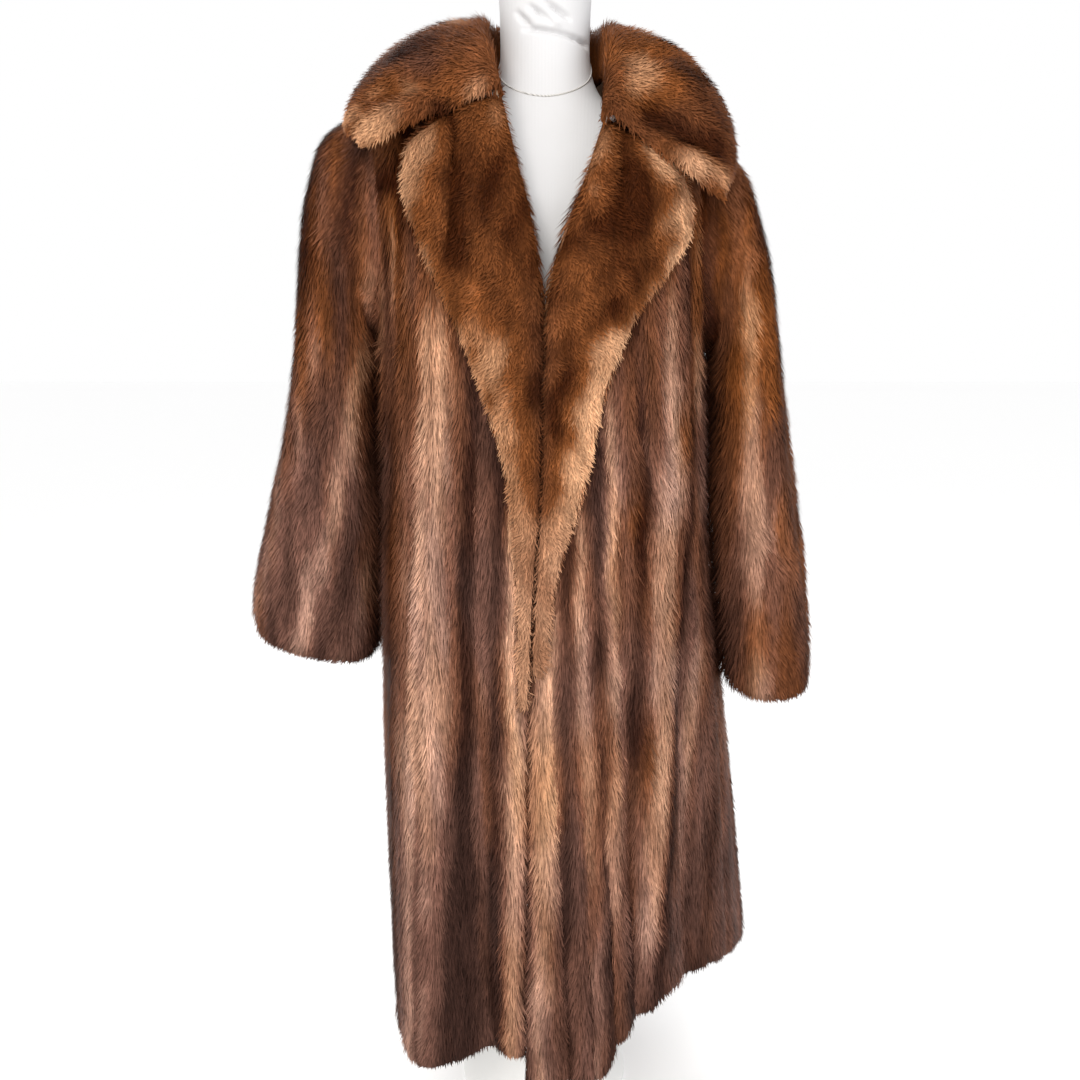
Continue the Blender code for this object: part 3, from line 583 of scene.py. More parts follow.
def angle_at_depth(height, depth, sign, side):
    """Angles near the side seam where the body reaches a depth to the front (side 1) or back."""

    def angle_of(turn):
        return sign * (turn if side > 0 else math.pi - turn)

    def is_below(turn):
        return -side * body_inside(angle_of(turn), height)[..., 1] > depth

    zero = np.zeros(np.shape(height))
    return angle_of(search(is_below, zero, zero + math.pi / 2))


def hem_height(angle):
    degrees = wrapped(np.degrees(angle))
    left, right = rows_at(HEM_LEFT, degrees)[..., 1], rows_at(HEM_RIGHT, degrees)[..., 1]
    return np.where(degrees > CENTRE_FRONT, left, right)


skirt_shares = np.arange(SKIRT_ROWS) / SKIRT_ROWS
armhole_turns = math.pi * np.arange(ARMHOLE_ROWS + 1) / ARMHOLE_ROWS
armhole_heights = mix(ARMPIT, SHOULDER_TIP, (1 - np.cos(armhole_turns)) / 2)
shoulder_heights = mix(SHOULDER_TIP, NECK_SEAM, np.arange(1, SHOULDER_ROWS + 1) / SHOULDER_ROWS)
above_heights = np.concatenate([armhole_heights, shoulder_heights])
BODY_ROWS = SKIRT_ROWS + len(above_heights)
half_rise = (SHOULDER_TIP - ARMPIT) / 2
inside_armhole = np.clip(1 - ((above_heights - ARMPIT - half_rise) / half_rise) ** 2, 0.0, None)
side_depths = np.concatenate([np.zeros(SKIRT_ROWS), ARMHOLE_DEPTH * np.sqrt(inside_armhole)])
side_depths = np.maximum(side_depths, SEAM / 2)


def heights_of(angles):
    """Heights of a panel's rows at the angle of each row."""
    column = (-1, *[1] * (angles.ndim - 1))
    skirt = mix(hem_height(angles[:SKIRT_ROWS]) + HEM_TURN, ARMPIT, skirt_shares.reshape(column))
    above = np.broadcast_to(above_heights.reshape(column), angles[SKIRT_ROWS:].shape)
    return np.concatenate([skirt, above])


def side_angles(sign, side):
    """Angles of a panel's rows at a side seam, for a front (side 1) or the back."""
    heights = heights_of(np.full(BODY_ROWS, sign * math.pi / 2))
    return angle_at_depth(heights, side_depths, sign, side)


def front_angles(sign):
    middle = heights_of(np.zeros(BODY_ROWS))
    edges = rows_at(FRONT_EDGES, middle)
    edge_x = edges[:, 2] + FRONT_GAP / 2 if sign > 0 else edges[:, 1] - FRONT_GAP / 2
    start, end = angle_at_x(middle, edge_x), side_angles(sign, 1)
    angles = mix(start[:, None], end[:, None], np.linspace(0, 1, FRONT_COLUMNS + 1))
    return angles if sign > 0 else angles[:, ::-1]


def back_angles():
    start, end = side_angles(1, -1), side_angles(-1, -1) + 2 * math.pi
    return mix(start[:, None], end[:, None], np.linspace(0, 1, BACK_COLUMNS + 1))


def fur_colour(light, gold):
    """Linear colours of the fur, from how light and how golden it is."""
    channels = []
    for channel in range(3):
        brown, golden = (
            np.interp(light, (0.0, 0.5, 1.0), [linear(tone)[channel] for tone in tones])
            for tones in (BROWN, GOLD)
        )
        channels.append(mix(brown, golden, np.clip(gold, 0.0, 1.0)))
    return np.stack(channels, -1)


def clouds(points, size, seed, waves=16):
    """A soft random field, about -1 to 1, whose patches have the given size along each axis."""
    chance = np.random.default_rng(seed)
    total = 0.0
    for _ in range(waves):
        wave = chance.normal(size=3) * 2 / np.array(size)
        total = total + np.sin(points @ wave + chance.uniform(0, 2 * math.pi))
    return np.tanh(total / (0.7 * math.sqrt(waves)))


def toned(rows, near):
    """How much lighter and more golden rows make the fur, by how near each of them is."""
    return sum(np.multiply.outer((row.light, row.gold), near(row)) for row in rows)


def striped(stripes, degrees, share):
    """What stripes make of the fur, share 0 low and 1 high."""
    return toned(stripes, lambda s: bell(wrapped(degrees - mix(s.low, s.high, share)) / s.width))


def shaded(shades, height):
    """What soft changes with the height make of the fur."""
    return toned(shades, lambda s: rise(height, s.start, s.over))


def clouded(cloud_rows, points, seed=0):
    """What random clouds make of the fur."""
    return toned(cloud_rows, lambda c: clouds(points, c.size, seed + c.seed))


def even_strips(degrees, width):
    """How much lighter even strips of pelt make the fur, each darker along its middle."""
    phase = 2 * math.pi * degrees / width
    return -0.15 * np.cos(phase) - 0.05 * np.cos(2 * phase + 1.0)


def body_colour(points, angles, heights):
    """Colours of the body: stripes in front, partly painted fold light and shade, and even ones round the
    back.
    """
    x, z = points[..., 0], points[..., 2]
    degrees = wrapped(np.degrees(angles))
    share = np.clip((heights - STRIPE_LOW) / (STRIPE_HIGH - STRIPE_LOW), -0.6, 1.6)
    # Pelt stripes, with painted light on the fold ridges and painted shade in the troughs.
    light, gold = striped(BODY_STRIPES, degrees, share)
    light = light * mix(1.0, CHEST_CONTRAST, rise(heights, CHEST, 0.20))
    is_front = fall(np.abs(degrees), SIDE, FRONT_BLEND)
    light = mix(even_strips(degrees, STRIP_DEGREES), light, is_front)
    low_dim = mix(LOW_DIM_RIGHT, LOW_DIM_LEFT, rise(degrees, CENTRE_FRONT + 1, 8))
    light = light - low_dim * fall(heights, LOW_TOP, 0.30)
    light = light - STREAK_DIM * bell((degrees - STREAK) / STREAK_WIDTH) * rise(heights, CHEST, 0.10)
    edges = rows_at(LAPEL_EDGES, z)
    beside = np.where(x < 0, edges[..., 1] - x, x - edges[..., 2])
    # Painted shadow on the fronts beside the lapels' outer edges.
    lapel_shadow = bell(beside / PAINTED_LAPEL_SHADOW_WIDTH) * rise(z, LAPEL_EDGES[0].height, 0.06) * is_front
    tones = np.array([light - PAINTED_LAPEL_SHADOW * lapel_shadow, gold * is_front])
    # The first spot is painted shadow in the notch under the collar wing.
    spots = toned(BODY_SPOTS, lambda s: bell((x - s.x) / s.width) * bell((z - s.z) / s.height))
    tones += spots * is_front + shaded(BODY_SHADES, heights) + clouded(BODY_CLOUDS, points)
    return fur_colour(BODY_LIGHT + tones[0], BODY_GOLD + tones[1])


def edge_profile(rows, columns, row_length, column_length, open_sides):
    """Thickness of a wall, 1 inside it and less along the edges named in open_sides."""
    i, j = np.mgrid[0:rows, 0:columns]
    far = {
        "bottom": i * row_length, "top": (rows - 1 - i) * row_length,
        "first": j * column_length, "last": (columns - 1 - j) * column_length,
    }
    far = np.minimum.reduce([far[side] for side in open_sides])
    return EDGE_SHARE + (1 - EDGE_SHARE) * np.sqrt(np.clip(far / EDGE_WIDTH, 0.0, 1.0))


# Mink skin, tanned: the flesh side is a fine, pale brown suede, in soft darker and lighter patches.
suede, tree, shader = new_material(
    "mink skin, tanned, flesh side", "#8E6F55", 0.9, Sheen_Weight=0.25, Sheen_Roughness=0.4
)
place = add_node(tree, "ShaderNodeTexCoord").outputs["Object"]
patches = add_node(tree, "ShaderNodeTexNoise", {"Vector": place, "Scale": 18.0, "Detail": 5.0})
tones = {0: patches, 6: linear("#6F523C"), 7: linear("#A58668")}
tint = add_node(tree, "ShaderNodeMix", tones, data_type="RGBA")
fibres = add_node(tree, "ShaderNodeTexNoise", {"Vector": place, "Scale": 900.0, "Detail": 2.0})
bump = add_node(tree, "ShaderNodeBump", {"Height": fibres, "Strength": 0.4, "Distance": 0.0004})
fill(shader, {"Base Color": tint.outputs[2], "Normal": bump})

# Underfur: short and dense, so the eye sees a dull, dark ground between the guard hairs, broken
# into fine upright strands 1.5 mm apart.
STRANDS = (660.0, 660.0, 60.0)  # a metre, across and along
underfur, tree, shader = new_material("mink underfur, dense", "#3A241B", 0.9, Specular_IOR_Level=0.02)
place = add_node(tree, "ShaderNodeTexCoord").outputs["Object"]
spread = add_node(tree, "ShaderNodeMapping", {"Vector": place, "Scale": STRANDS})
strands = add_node(tree, "ShaderNodeTexNoise", {"Vector": spread, "Scale": 1.0, "Detail": 2.0})
shade = add_node(tree, "ShaderNodeMapRange", {0: strands, 1: 0.3, 2: 0.7, 3: 0.55, 4: 0.90})
hair = add_node(tree, "ShaderNodeAttribute", attribute_name="fur")
tones = {0: 1.0, 6: hair, 7: shade}
tint = add_node(tree, "ShaderNodeMix", tones, data_type="RGBA", blend_type="MULTIPLY")
bump = add_node(tree, "ShaderNodeBump", {"Height": strands, "Strength": 0.7, "Distance": 0.002})
fill(shader, {"Base Color": tint.outputs[2], "Normal": bump})

# Guard hairs: long, smooth and glossy. Each lock is darker at its root than at its tip, and
# differs a little from its neighbours, which gives the fine strokes of a brushed pelt. Real hairs
# are under 0.1 mm wide: the locks and these clumps are drawn coarser, so that they show.
CLUMPS = table("a_metre detail", ((90, 90, 14), 3), ((260, 260, 70), 2))
guard, tree, shader = new_material("mink guard hair, combed", "#6E4636", 0.5, Specular_IOR_Level=0.02)
hair = add_node(tree, "ShaderNodeAttribute", attribute_name="fur")
tone = add_node(tree, "ShaderNodeAttribute", attribute_name="tone")
reach = add_node(tree, "ShaderNodeAttribute", attribute_name="reach")
tip = add_node(tree, "ShaderNodeMapRange", {0: reach.outputs["Fac"], 3: 0.80, 4: 1.08})
own = add_node(tree, "ShaderNodeMapRange", {0: tone.outputs["Fac"], 3: 0.84, 4: 1.16})
shade = add_node(tree, "ShaderNodeMath", {0: tip, 1: own}, operation="MULTIPLY")
place = add_node(tree, "ShaderNodeTexCoord").outputs["Object"]
for clump in CLUMPS:
    spread = add_node(tree, "ShaderNodeMapping", {"Vector": place, "Scale": clump.a_metre})
    cloudy = add_node(tree, "ShaderNodeTexNoise", {"Vector": spread, "Scale": 1.0, "Detail": clump.detail})
    patch = add_node(tree, "ShaderNodeMapRange", {0: cloudy, 1: 0.3, 2: 0.7, 3: 0.72, 4: 1.26})
    shade = add_node(tree, "ShaderNodeMath", {0: shade, 1: patch}, operation="MULTIPLY")
tones = {0: 1.0, 6: hair, 7: shade}
tint = add_node(tree, "ShaderNodeMix", tones, data_type="RGBA", blend_type="MULTIPLY")
fill(shader, {"Base Color": tint.outputs[2]})

VALUE_NAMES = {"FLOAT": "value", "INT": "value", "FLOAT_VECTOR": "vector", "FLOAT_COLOR": "color"}


def keep_values(mesh, name, kind, values):
    """Keeps values on the points of a mesh."""
    kept = mesh.attributes.new(name, kind, "POINT")
    kept.data.foreach_set(VALUE_NAMES[kind], np.ravel(values))


def kept_values(mesh, name):
    """The values that the points of a mesh keep."""
    kept = mesh.attributes[name]
    size = 3 if kept.data_type == "FLOAT_VECTOR" else 1
    values = np.zeros(len(mesh.vertices) * size, np.int32 if kept.data_type == "INT" else np.float32)
    kept.data.foreach_get(VALUE_NAMES[kept.data_type], values)
    return values.reshape(-1, size) if size > 1 else values


def make_skin(name, outer, inner, nap, colour, pile, closed_round):
    """The skin and underfur of a piece: a closed wall between two grids of points, with the lie
    of the hair, its colour and how thickly it grows kept on its points."""
    rows, columns = outer.shape[:2]
    far = rows * columns
    index = np.arange(far).reshape(rows, columns)
    after = np.roll(index, -1, axis=1)
    steps = slice(None) if closed_round else slice(None, -1)
    quad = np.stack([index[:-1, steps], after[:-1, steps], after[1:, steps], index[1:, steps]], -1)
    quad = quad.reshape(-1, 4)
    low, high = index[0, steps], after[0, steps]
    faces = [quad, quad[:, ::-1] + far, np.stack([low + far, high + far, high, low], -1)]
    low, high = index[-1, steps], after[-1, steps]
    faces.append(np.stack([low, high, high + far, low + far], -1))
    if not closed_round:
        low, high = index[:-1, 0], index[1:, 0]
        faces.append(np.stack([low, high, high + far, low + far], -1))
        low, high = index[:-1, -1], index[1:, -1]
        faces.append(np.stack([high, low, low + far, high + far], -1))
    points = np.concatenate([outer.reshape(-1, 3), inner.reshape(-1, 3)])
    skin = add_mesh(name, points.tolist(), np.concatenate(faces).tolist(), underfur, suede)
    slots = np.zeros(len(skin.data.polygons), np.int32)
    slots[len(quad) : 2 * len(quad)] = 1
    skin.data.polygons.foreach_set("material_index", slots)
    tint = np.concatenate([np.tile(colour.reshape(-1, 3), (2, 1)), np.ones((2 * far, 1))], axis=1)
    pile = np.broadcast_to(np.asarray(pile, float), (rows, columns))
    keep_values(skin.data, "fur", "FLOAT_COLOR", tint)
    keep_values(skin.data, "nap", "FLOAT_VECTOR", np.tile(nap.reshape(-1, 3), (2, 1)))
    keep_values(skin.data, "pile", "FLOAT", np.concatenate([np.ravel(pile), np.zeros(far)]))
    return skin


def pile_tree():
    """Geometry nodes that grow locks of hair on a skin, along its nap."""
    tree = bpy.data.node_groups.new("pile of guard hair", "GeometryNodeTree")
    face = tree.interface
    face.new_socket("Geometry", in_out="INPUT", socket_type="NodeSocketGeometry")
    for name, kind in (
        ("Lock", "Object"), ("Spacing", "Float"), ("Length", "Float"), ("Width", "Float"),
        ("Lift", "Float"), ("Stray", "Float"), ("Seed", "Int"), ("Material", "Material"),
    ):
        face.new_socket(name, in_out="INPUT", socket_type="NodeSocket" + kind)
    face.new_socket("Geometry", in_out="OUTPUT", socket_type="NodeSocketGeometry")
    given = add_node(tree, "NodeGroupInput").outputs

    def chance(low, high, step):
        seed = add_node(tree, "ShaderNodeMath", {0: given["Seed"], 1: float(step)}, operation="ADD")
        drawn = {2: low, 3: high, "Seed": seed}
        return add_node(tree, "FunctionNodeRandomValue", drawn, data_type="FLOAT").outputs[1]

    def product(first, second):
        return add_node(tree, "ShaderNodeMath", {0: first, 1: second}, operation="MULTIPLY")

    grown = add_node(tree, "GeometryNodeInputNamedAttribute", {"Name": "pile"}, data_type="FLOAT")
    thick = product(grown, 4.0)
    thick.use_clamp = True
    spots = {
        "Mesh": given["Geometry"], "Distance Min": given["Spacing"], "Density Max": 900000.0,
        "Density Factor": thick, "Seed": given["Seed"],
    }
    scatter = add_node(tree, "GeometryNodeDistributePointsOnFaces", spots, distribute_method="POISSON")
    normal = scatter.outputs["Normal"]
    nap = add_node(tree, "GeometryNodeInputNamedAttribute", {"Name": "nap"}, data_type="FLOAT_VECTOR")
    lying = add_node(
        tree, "FunctionNodeAxesToRotation", {"Primary Axis": normal, "Secondary Axis": nap},
        primary_axis="Z", secondary_axis="Y",
    )
    lift = product(given["Lift"], chance(0.3, 2.1, 1))
    lift = product(lift, product(grown, grown))
    stray = product(given["Stray"], chance(-1.0, 1.0, 2))
    turn = add_node(tree, "ShaderNodeCombineXYZ", {"X": lift, "Z": stray})
    turn = add_node(tree, "FunctionNodeEulerToRotation", {0: turn})
    raising = {"Rotation": lying, "Rotate By": turn}
    raised = add_node(tree, "FunctionNodeRotateRotation", raising, rotation_space="LOCAL")
    wide = product(given["Width"], chance(0.7, 1.3, 3))
    long = product(product(given["Length"], chance(0.65, 1.25, 4)), grown)
    size = add_node(tree, "ShaderNodeCombineXYZ", {"X": wide, "Y": long, "Z": wide})
    any_way = {0: (-1, -1, -1), 1: (1, 1, 1)}
    tilt = add_node(tree, "FunctionNodeRandomValue", any_way, data_type="FLOAT_VECTOR")
    tilt = add_node(tree, "ShaderNodeVectorMath", {0: tilt, "Scale": 0.14}, operation="SCALE")
    lean = add_node(tree, "ShaderNodeVectorMath", {0: normal, 1: tilt}, operation="ADD")
    points = scatter.outputs["Points"]
    index = add_node(tree, "GeometryNodeInputIndex")
    for name, kind, value in (
        ("tone", "FLOAT", chance(0.0, 1.0, 5)), ("lean", "FLOAT_VECTOR", lean), ("lock", "INT", index),
    ):
        kept = {"Geometry": points, "Name": name, "Value": value}
        points = add_node(tree, "GeometryNodeStoreNamedAttribute", kept, data_type=kind, domain="POINT")
    shape = add_node(tree, "GeometryNodeObjectInfo", {"Object": given["Lock"], "As Instance": True})
    places = {"Points": points, "Instance": shape.outputs["Geometry"], "Rotation": raised, "Scale": size}
    planted = add_node(tree, "GeometryNodeInstanceOnPoints", places)
    solid = add_node(tree, "GeometryNodeRealizeInstances", {"Geometry": planted})
    dressed = {"Geometry": solid, "Material": given["Material"]}
    add_node(tree, "NodeGroupOutput", {0: add_node(tree, "GeometryNodeSetMaterial", dressed)})
    return tree


# One lock: root, its two sides at the widest place, and the tip.
LOCK = table("aside reach up", (0, 0, 0), (-0.5, 0.42, 0), (0.5, 0.42, 0), (0, 1, 0))
lock = add_mesh("lock", LOCK, ((0, 2, 1), (1, 2, 3)))
keep_values(lock.data, "reach", "FLOAT", [point.reach for point in LOCK])
keep_values(lock.data, "aside", "FLOAT", [point.aside for point in LOCK])
PILE = pile_tree()


def grow_fur(name, skin, seed, spacing=0.0020, length=0.020, width=0.0019, lift=9.0, stray=12.0):
    """The guard hair on a skin, as a mesh of its own whose shading follows the skin's."""
    host = add_object("host", skin.data)
    growing = host.modifiers.new("pile", "NODES")
    growing.node_group = PILE
    chosen = {
        "Lock": lock, "Spacing": spacing, "Length": length, "Width": width,
        "Lift": math.radians(lift), "Stray": math.radians(stray), "Seed": seed, "Material": guard,
    }
    for item in PILE.interface.items_tree:
        if item.name in chosen:
            growing[item.identifier] = chosen[item.name]
    mesh = bpy.data.meshes.new_from_object(host.evaluated_get(bpy.context.evaluated_depsgraph_get()))
    bpy.data.objects.remove(host)
    mesh.name = name
    cells = kept_values(mesh, "lock")
    side = math.ceil(math.sqrt(cells.max() + 1))
    place = np.stack([cells % side, cells // side], -1)
    inside = np.stack([kept_values(mesh, "aside") + 0.5, kept_values(mesh, "reach")], -1)
    corners = np.zeros(len(mesh.loops), np.int32)
    mesh.loops.foreach_get("vertex_index", corners)
    spot = ((place + 0.2 + 0.6 * inside) / side)[corners].astype(np.float32)
    mesh.uv_layers.new(name="OFBake").data.foreach_set("uv", spot.ravel())
    mesh.shade_smooth()
    mesh.normals_split_custom_set_from_vertices(normalized(kept_values(mesh, "lean")).tolist())
    for used in ("lean", "nap", "pile", "lock", "aside"):
        mesh.attributes.remove(mesh.attributes[used])
    return add_object(name, mesh)


def fur_piece(node, slot, seed, wall, nap, colour, pile=1.0, closed_round=False, **hair):
    """A piece of the coat, fixed in the place of its solid: its skin and its guard hair."""
    skin = make_skin("skin_" + node, *wall, nap, colour, pile, closed_round)
    fur = grow_fur("fur_" + node, skin, seed, **hair)
    fix(skin, node)
    fix(fur)
    return skin, fur


def nap_of(grid, towards, sideways, closed_round=False):
    """The lie of the hair: a direction laid on the surface, with a share of it sideways."""
    out = directions(grid, closed_round)[2]
    lie = normalized(towards - out * (towards * out).sum(-1, keepdims=True))
    return normalized(lie + np.cross(lie, out) * np.asarray(sideways)[..., None])


# The hair parts along the ridge of the right front's main fold, lies a little outwards at the
# front edges, and is fuller beside the arms, where it fills the cleft under the sleeves.
NAP_WAVE, NAP_CLOUDS, NAP_CLOUD_SIZE = 0.20, 0.18, (0.025, 0.05, 0.04)
PARTING, PARTING_WIDTH, PARTING_SLANT = -41.0, 7, 0.25  # degrees round, and a share sideways
EDGE_SLANT, EDGE_SLANT_WIDTH = 0.35, 0.010  # at the front edges, as are the next two
# Painted shadow darkens the fur at the front edges, in the gap where the two fronts meet.
PAINTED_EDGE_SHADOW, PAINTED_EDGE_SHADOW_WIDTH = 0.72, 0.0045
CLEFT_PILE, CLEFT_WIDTH = 0.62, 20  # how much more hair, and over how many degrees
CLEFT_TOP, CLEFT_FOOT = 1.145, 0.69  # heights
# Thinner hair and painted shadow in the last rows, at the hem and at the cuffs.
HEM_THINNING, PAINTED_HEM_SHADOW, HEM_ROWS = 0.35, 0.45, 1.3  # at the hem and at the cuffs
PANELS = table(
    "node sign angles creases open_sides flat area seed spacing",
    ("back", 0, back_angles(), CREASES_BACK, ("bottom",), (0.86, 1.24), 0.76, 11, 0.0023),
    ("front_right", -1, front_angles(-1), CREASES_RIGHT, ("bottom", "last"), (0.42, 1.24), 0.376, 12, 0.0020),
    ("front_left", 1, front_angles(1), CREASES_LEFT, ("bottom", "first"), (0.42, 1.24), 0.390, 13, 0.0020),
)
for panel in PANELS:
    degrees, heights = np.degrees(panel.angles), heights_of(panel.angles)
    base = creased(body_point(panel.angles, heights, np.full(heights.shape, LEATHER)), panel.creases)
    rows, columns = heights.shape
    profile = edge_profile(rows, columns, ROW_LENGTH, COLUMN_LENGTH, panel.open_sides)
    outer = base + directions(base)[2] * ((UNDERFUR - LEATHER) * profile)[..., None]
    towards = np.stack([0.5 * outer[..., 0], 0.6 * outer[..., 1], np.full(heights.shape, -1.0)], -1)
    parting = wrapped(degrees - PARTING)
    sideways = NAP_WAVE * np.sin(2 * math.pi * degrees / STRIP_DEGREES)
    sideways = sideways + NAP_CLOUDS * clouds(outer, NAP_CLOUD_SIZE, panel.seed)
    sideways = sideways - PARTING_SLANT * np.tanh(parting / 2) * bell(parting / PARTING_WIDTH)
    colour = body_colour(outer, panel.angles, heights)
    if panel.sign:
        to_edge = np.linspace(0, 1, columns) if panel.sign > 0 else 1 - np.linspace(0, 1, columns)
        to_edge = to_edge * columns * COLUMN_LENGTH
        sideways = sideways + panel.sign * EDGE_SLANT * bell(to_edge / EDGE_SLANT_WIDTH)
        # Painted shadow along the front edge.
        colour = colour * (1 - PAINTED_EDGE_SHADOW * bell(to_edge / PAINTED_EDGE_SHADOW_WIDTH))[..., None]
    beside_arm = bell((np.abs(wrapped(degrees)) - SIDE) / CLEFT_WIDTH)
    pile = 1 + CLEFT_PILE * beside_arm * fall(heights, CLEFT_TOP, 0.05) * rise(heights, CLEFT_FOOT, 0.12)
    near_hem = bell(np.arange(rows) / HEM_ROWS)[:, None]
    # Thinner hair and painted shadow at the hem.
    pile, colour = pile * (1 - HEM_THINNING * near_hem), colour * (1 - PAINTED_HEM_SHADOW * near_hem)[..., None]
    nap = nap_of(outer, towards, sideways)
    wall = (outer, base)
    skin, fur = fur_piece(panel.node, "fur", panel.seed, wall, nap, colour, pile, spacing=panel.spacing)

# ------------------------------------------------------------------ lapels
# Each front is turned back along its roll line, so that the fur of the facing shows: a plush
# golden brown, fuller and lighter along the rounded outer edge, where the roll gets a painted highlight.
LAPEL_ROWS, LAPEL_COLUMNS = 84, 26
LAPEL_GAP = 0.0005
LAPEL_LIFT = 0.010
LAPEL_UNDERFUR = 0.0075
LAPEL_TRIM = 0.012  # share of the width that the skin stops short on both sides
# The lapels' rim is lighter in part by a painted highlight on the roll of the outer edge.
LAPEL_LIGHT, LAPEL_GOLD, LAPEL_RIM_HIGHLIGHT = 0.27, 0.95, 0.26  # and how much lighter the outer edge is
END_TOP, END_LIGHT, END_GOLD = 0.42, 0.72, 0.66  # the narrow lower end, by the share along
DARKEST, LIGHTEST = 0.04, 1.05  # limits of the colours
LAPEL_CLOUDS = table(CLOUD, ((0.022, 0.03, 0.03), 0, 0.12, 0))
END_CLOUDS = table(CLOUD, ((0.012, 0.03, 0.06), 9, 0.1, 0))
LAPEL_HAIR = dict(spacing=0.0017, length=0.010, width=0.0016, lift=18, stray=34)
LAPEL_ROW = "along roll_x roll_z edge_x edge_z"
LAPEL_RIGHT = table(
    LAPEL_ROW,
    (0.00, -0.021, 0.700, -0.030, 0.700), (0.20, -0.014, 0.850, -0.030, 0.860),
    (0.35, -0.008, 0.950, -0.038, 0.955), (0.50, -0.005, 1.060, -0.064, 1.055),
    (0.65, -0.004, 1.150, -0.106, 1.150), (0.78, -0.014, 1.235, -0.133, 1.210),
    (0.90, -0.031, 1.300, -0.150, 1.262), (1.00, -0.047, 1.364, -0.147, 1.307),
)
LAPEL_LEFT = table(
    LAPEL_ROW,
    (0.00, -0.014, 0.740, -0.006, 0.740), (0.20, -0.008, 0.860, 0.014, 0.870),
    (0.35, -0.003, 0.950, 0.040, 0.960), (0.50, -0.001, 1.060, 0.061, 1.060),
    (0.65, 0.002, 1.150, 0.092, 1.140), (0.78, 0.018, 1.215, 0.130, 1.195),
    (0.90, 0.038, 1.275, 0.155, 1.245), (1.00, 0.061, 1.345, 0.146, 1.289),
)
LAPEL_CREASES_RIGHT = table(
    CREASE,
    (0.99, 0.46, 0.86, 0.56, 0.007, -0.009), (0.86, 0.56, 0.72, 0.8, 0.007, -0.006),
    (0.96, 0.78, 0.76, 0.88, 0.012, 0.004), (0.74, 0.34, 0.6, 0.5, 0.014, 0.003),
)
LAPEL_CREASES_LEFT = table(
    CREASE,
    (0.99, 0.2, 0.86, 0.4, 0.008, -0.009), (0.99, 0.6, 0.84, 0.92, 0.012, 0.006),
    (0.92, 0.58, 0.8, 0.74, 0.009, -0.005), (0.74, 0.3, 0.6, 0.4, 0.014, 0.003),
)
# Patches of lighter or darker fur: row and column as shares of the grid, half height and half
# width of the patch in the same shares, and how much lighter it is. On the lapels and the collar,
# those that follow the creases are painted shade in the troughs and painted highlight on the ridges.
PATCH = "row column height width light"
LAPEL_PATCHES_RIGHT = table(
    PATCH,
    (0.96, 0.78, 0.06, 0.22, 0.3), (0.88, 0.92, 0.1, 0.16, 0.2), (0.84, 0.72, 0.06, 0.12, 0.14),
    (0.97, 0.5, 0.05, 0.09, -0.3), (0.88, 0.53, 0.06, 0.08, -0.32), (0.8, 0.62, 0.05, 0.1, -0.28),
    (0.74, 0.7, 0.04, 0.12, -0.2), (0.96, 0.12, 0.05, 0.14, 0.18), (0.84, 0.22, 0.1, 0.2, -0.16),
    (0.66, 0.84, 0.06, 0.2, 0.16), (0.67, 0.6, 0.03, 0.12, 0.26), (0.62, 0.4, 0.03, 0.16, -0.14),
    (0.56, 0.6, 0.05, 0.3, 0.29), (0.52, 0.1, 0.1, 0.16, -0.18), (0.46, 0.8, 0.08, 0.4, 0.2),
    (0.46, 0.36, 0.03, 0.14, -0.14), (0.34, 0.7, 0.1, 0.5, 0.3), (0.15, 0.6, 0.14, 0.6, 0.28),
)
LAPEL_PATCHES_LEFT = table(
    PATCH,
    (0.99, 0.66, 0.04, 0.3, 0.66), (0.93, 0.93, 0.06, 0.16, 0.62), (0.84, 0.94, 0.08, 0.14, 0.42),
    (0.89, 0.76, 0.04, 0.14, 0.28), (0.99, 0.28, 0.04, 0.12, -0.34), (0.91, 0.4, 0.05, 0.13, -0.46),
    (0.95, 0.06, 0.05, 0.12, 0.22), (0.89, 0.1, 0.03, 0.1, 0.16), (0.82, 0.36, 0.06, 0.22, -0.22),
    (0.76, 0.66, 0.04, 0.16, -0.16), (0.72, 0.3, 0.03, 0.1, 0.18), (0.66, 0.7, 0.05, 0.2, -0.16),
    (0.6, 0.84, 0.04, 0.24, 0.44), (0.5, 0.78, 0.09, 0.24, 0.6), (0.54, 0.34, 0.06, 0.16, -0.14),
    (0.56, 0.16, 0.08, 0.16, 0.1), (0.46, 0.24, 0.08, 0.14, -0.18), (0.34, 0.74, 0.1, 0.36, 0.5),
    (0.15, 0.6, 0.14, 0.6, 0.34),
)


def patched(patches, row_share, column_share):
    """How much lighter the patches make the fur."""
    light = 0.0
    for p in patches:
        far = ((row_share - p.row) / p.height) ** 2 + ((column_share - p.column) / p.width) ** 2
        light = light + p.light * np.exp(-far)
    return light


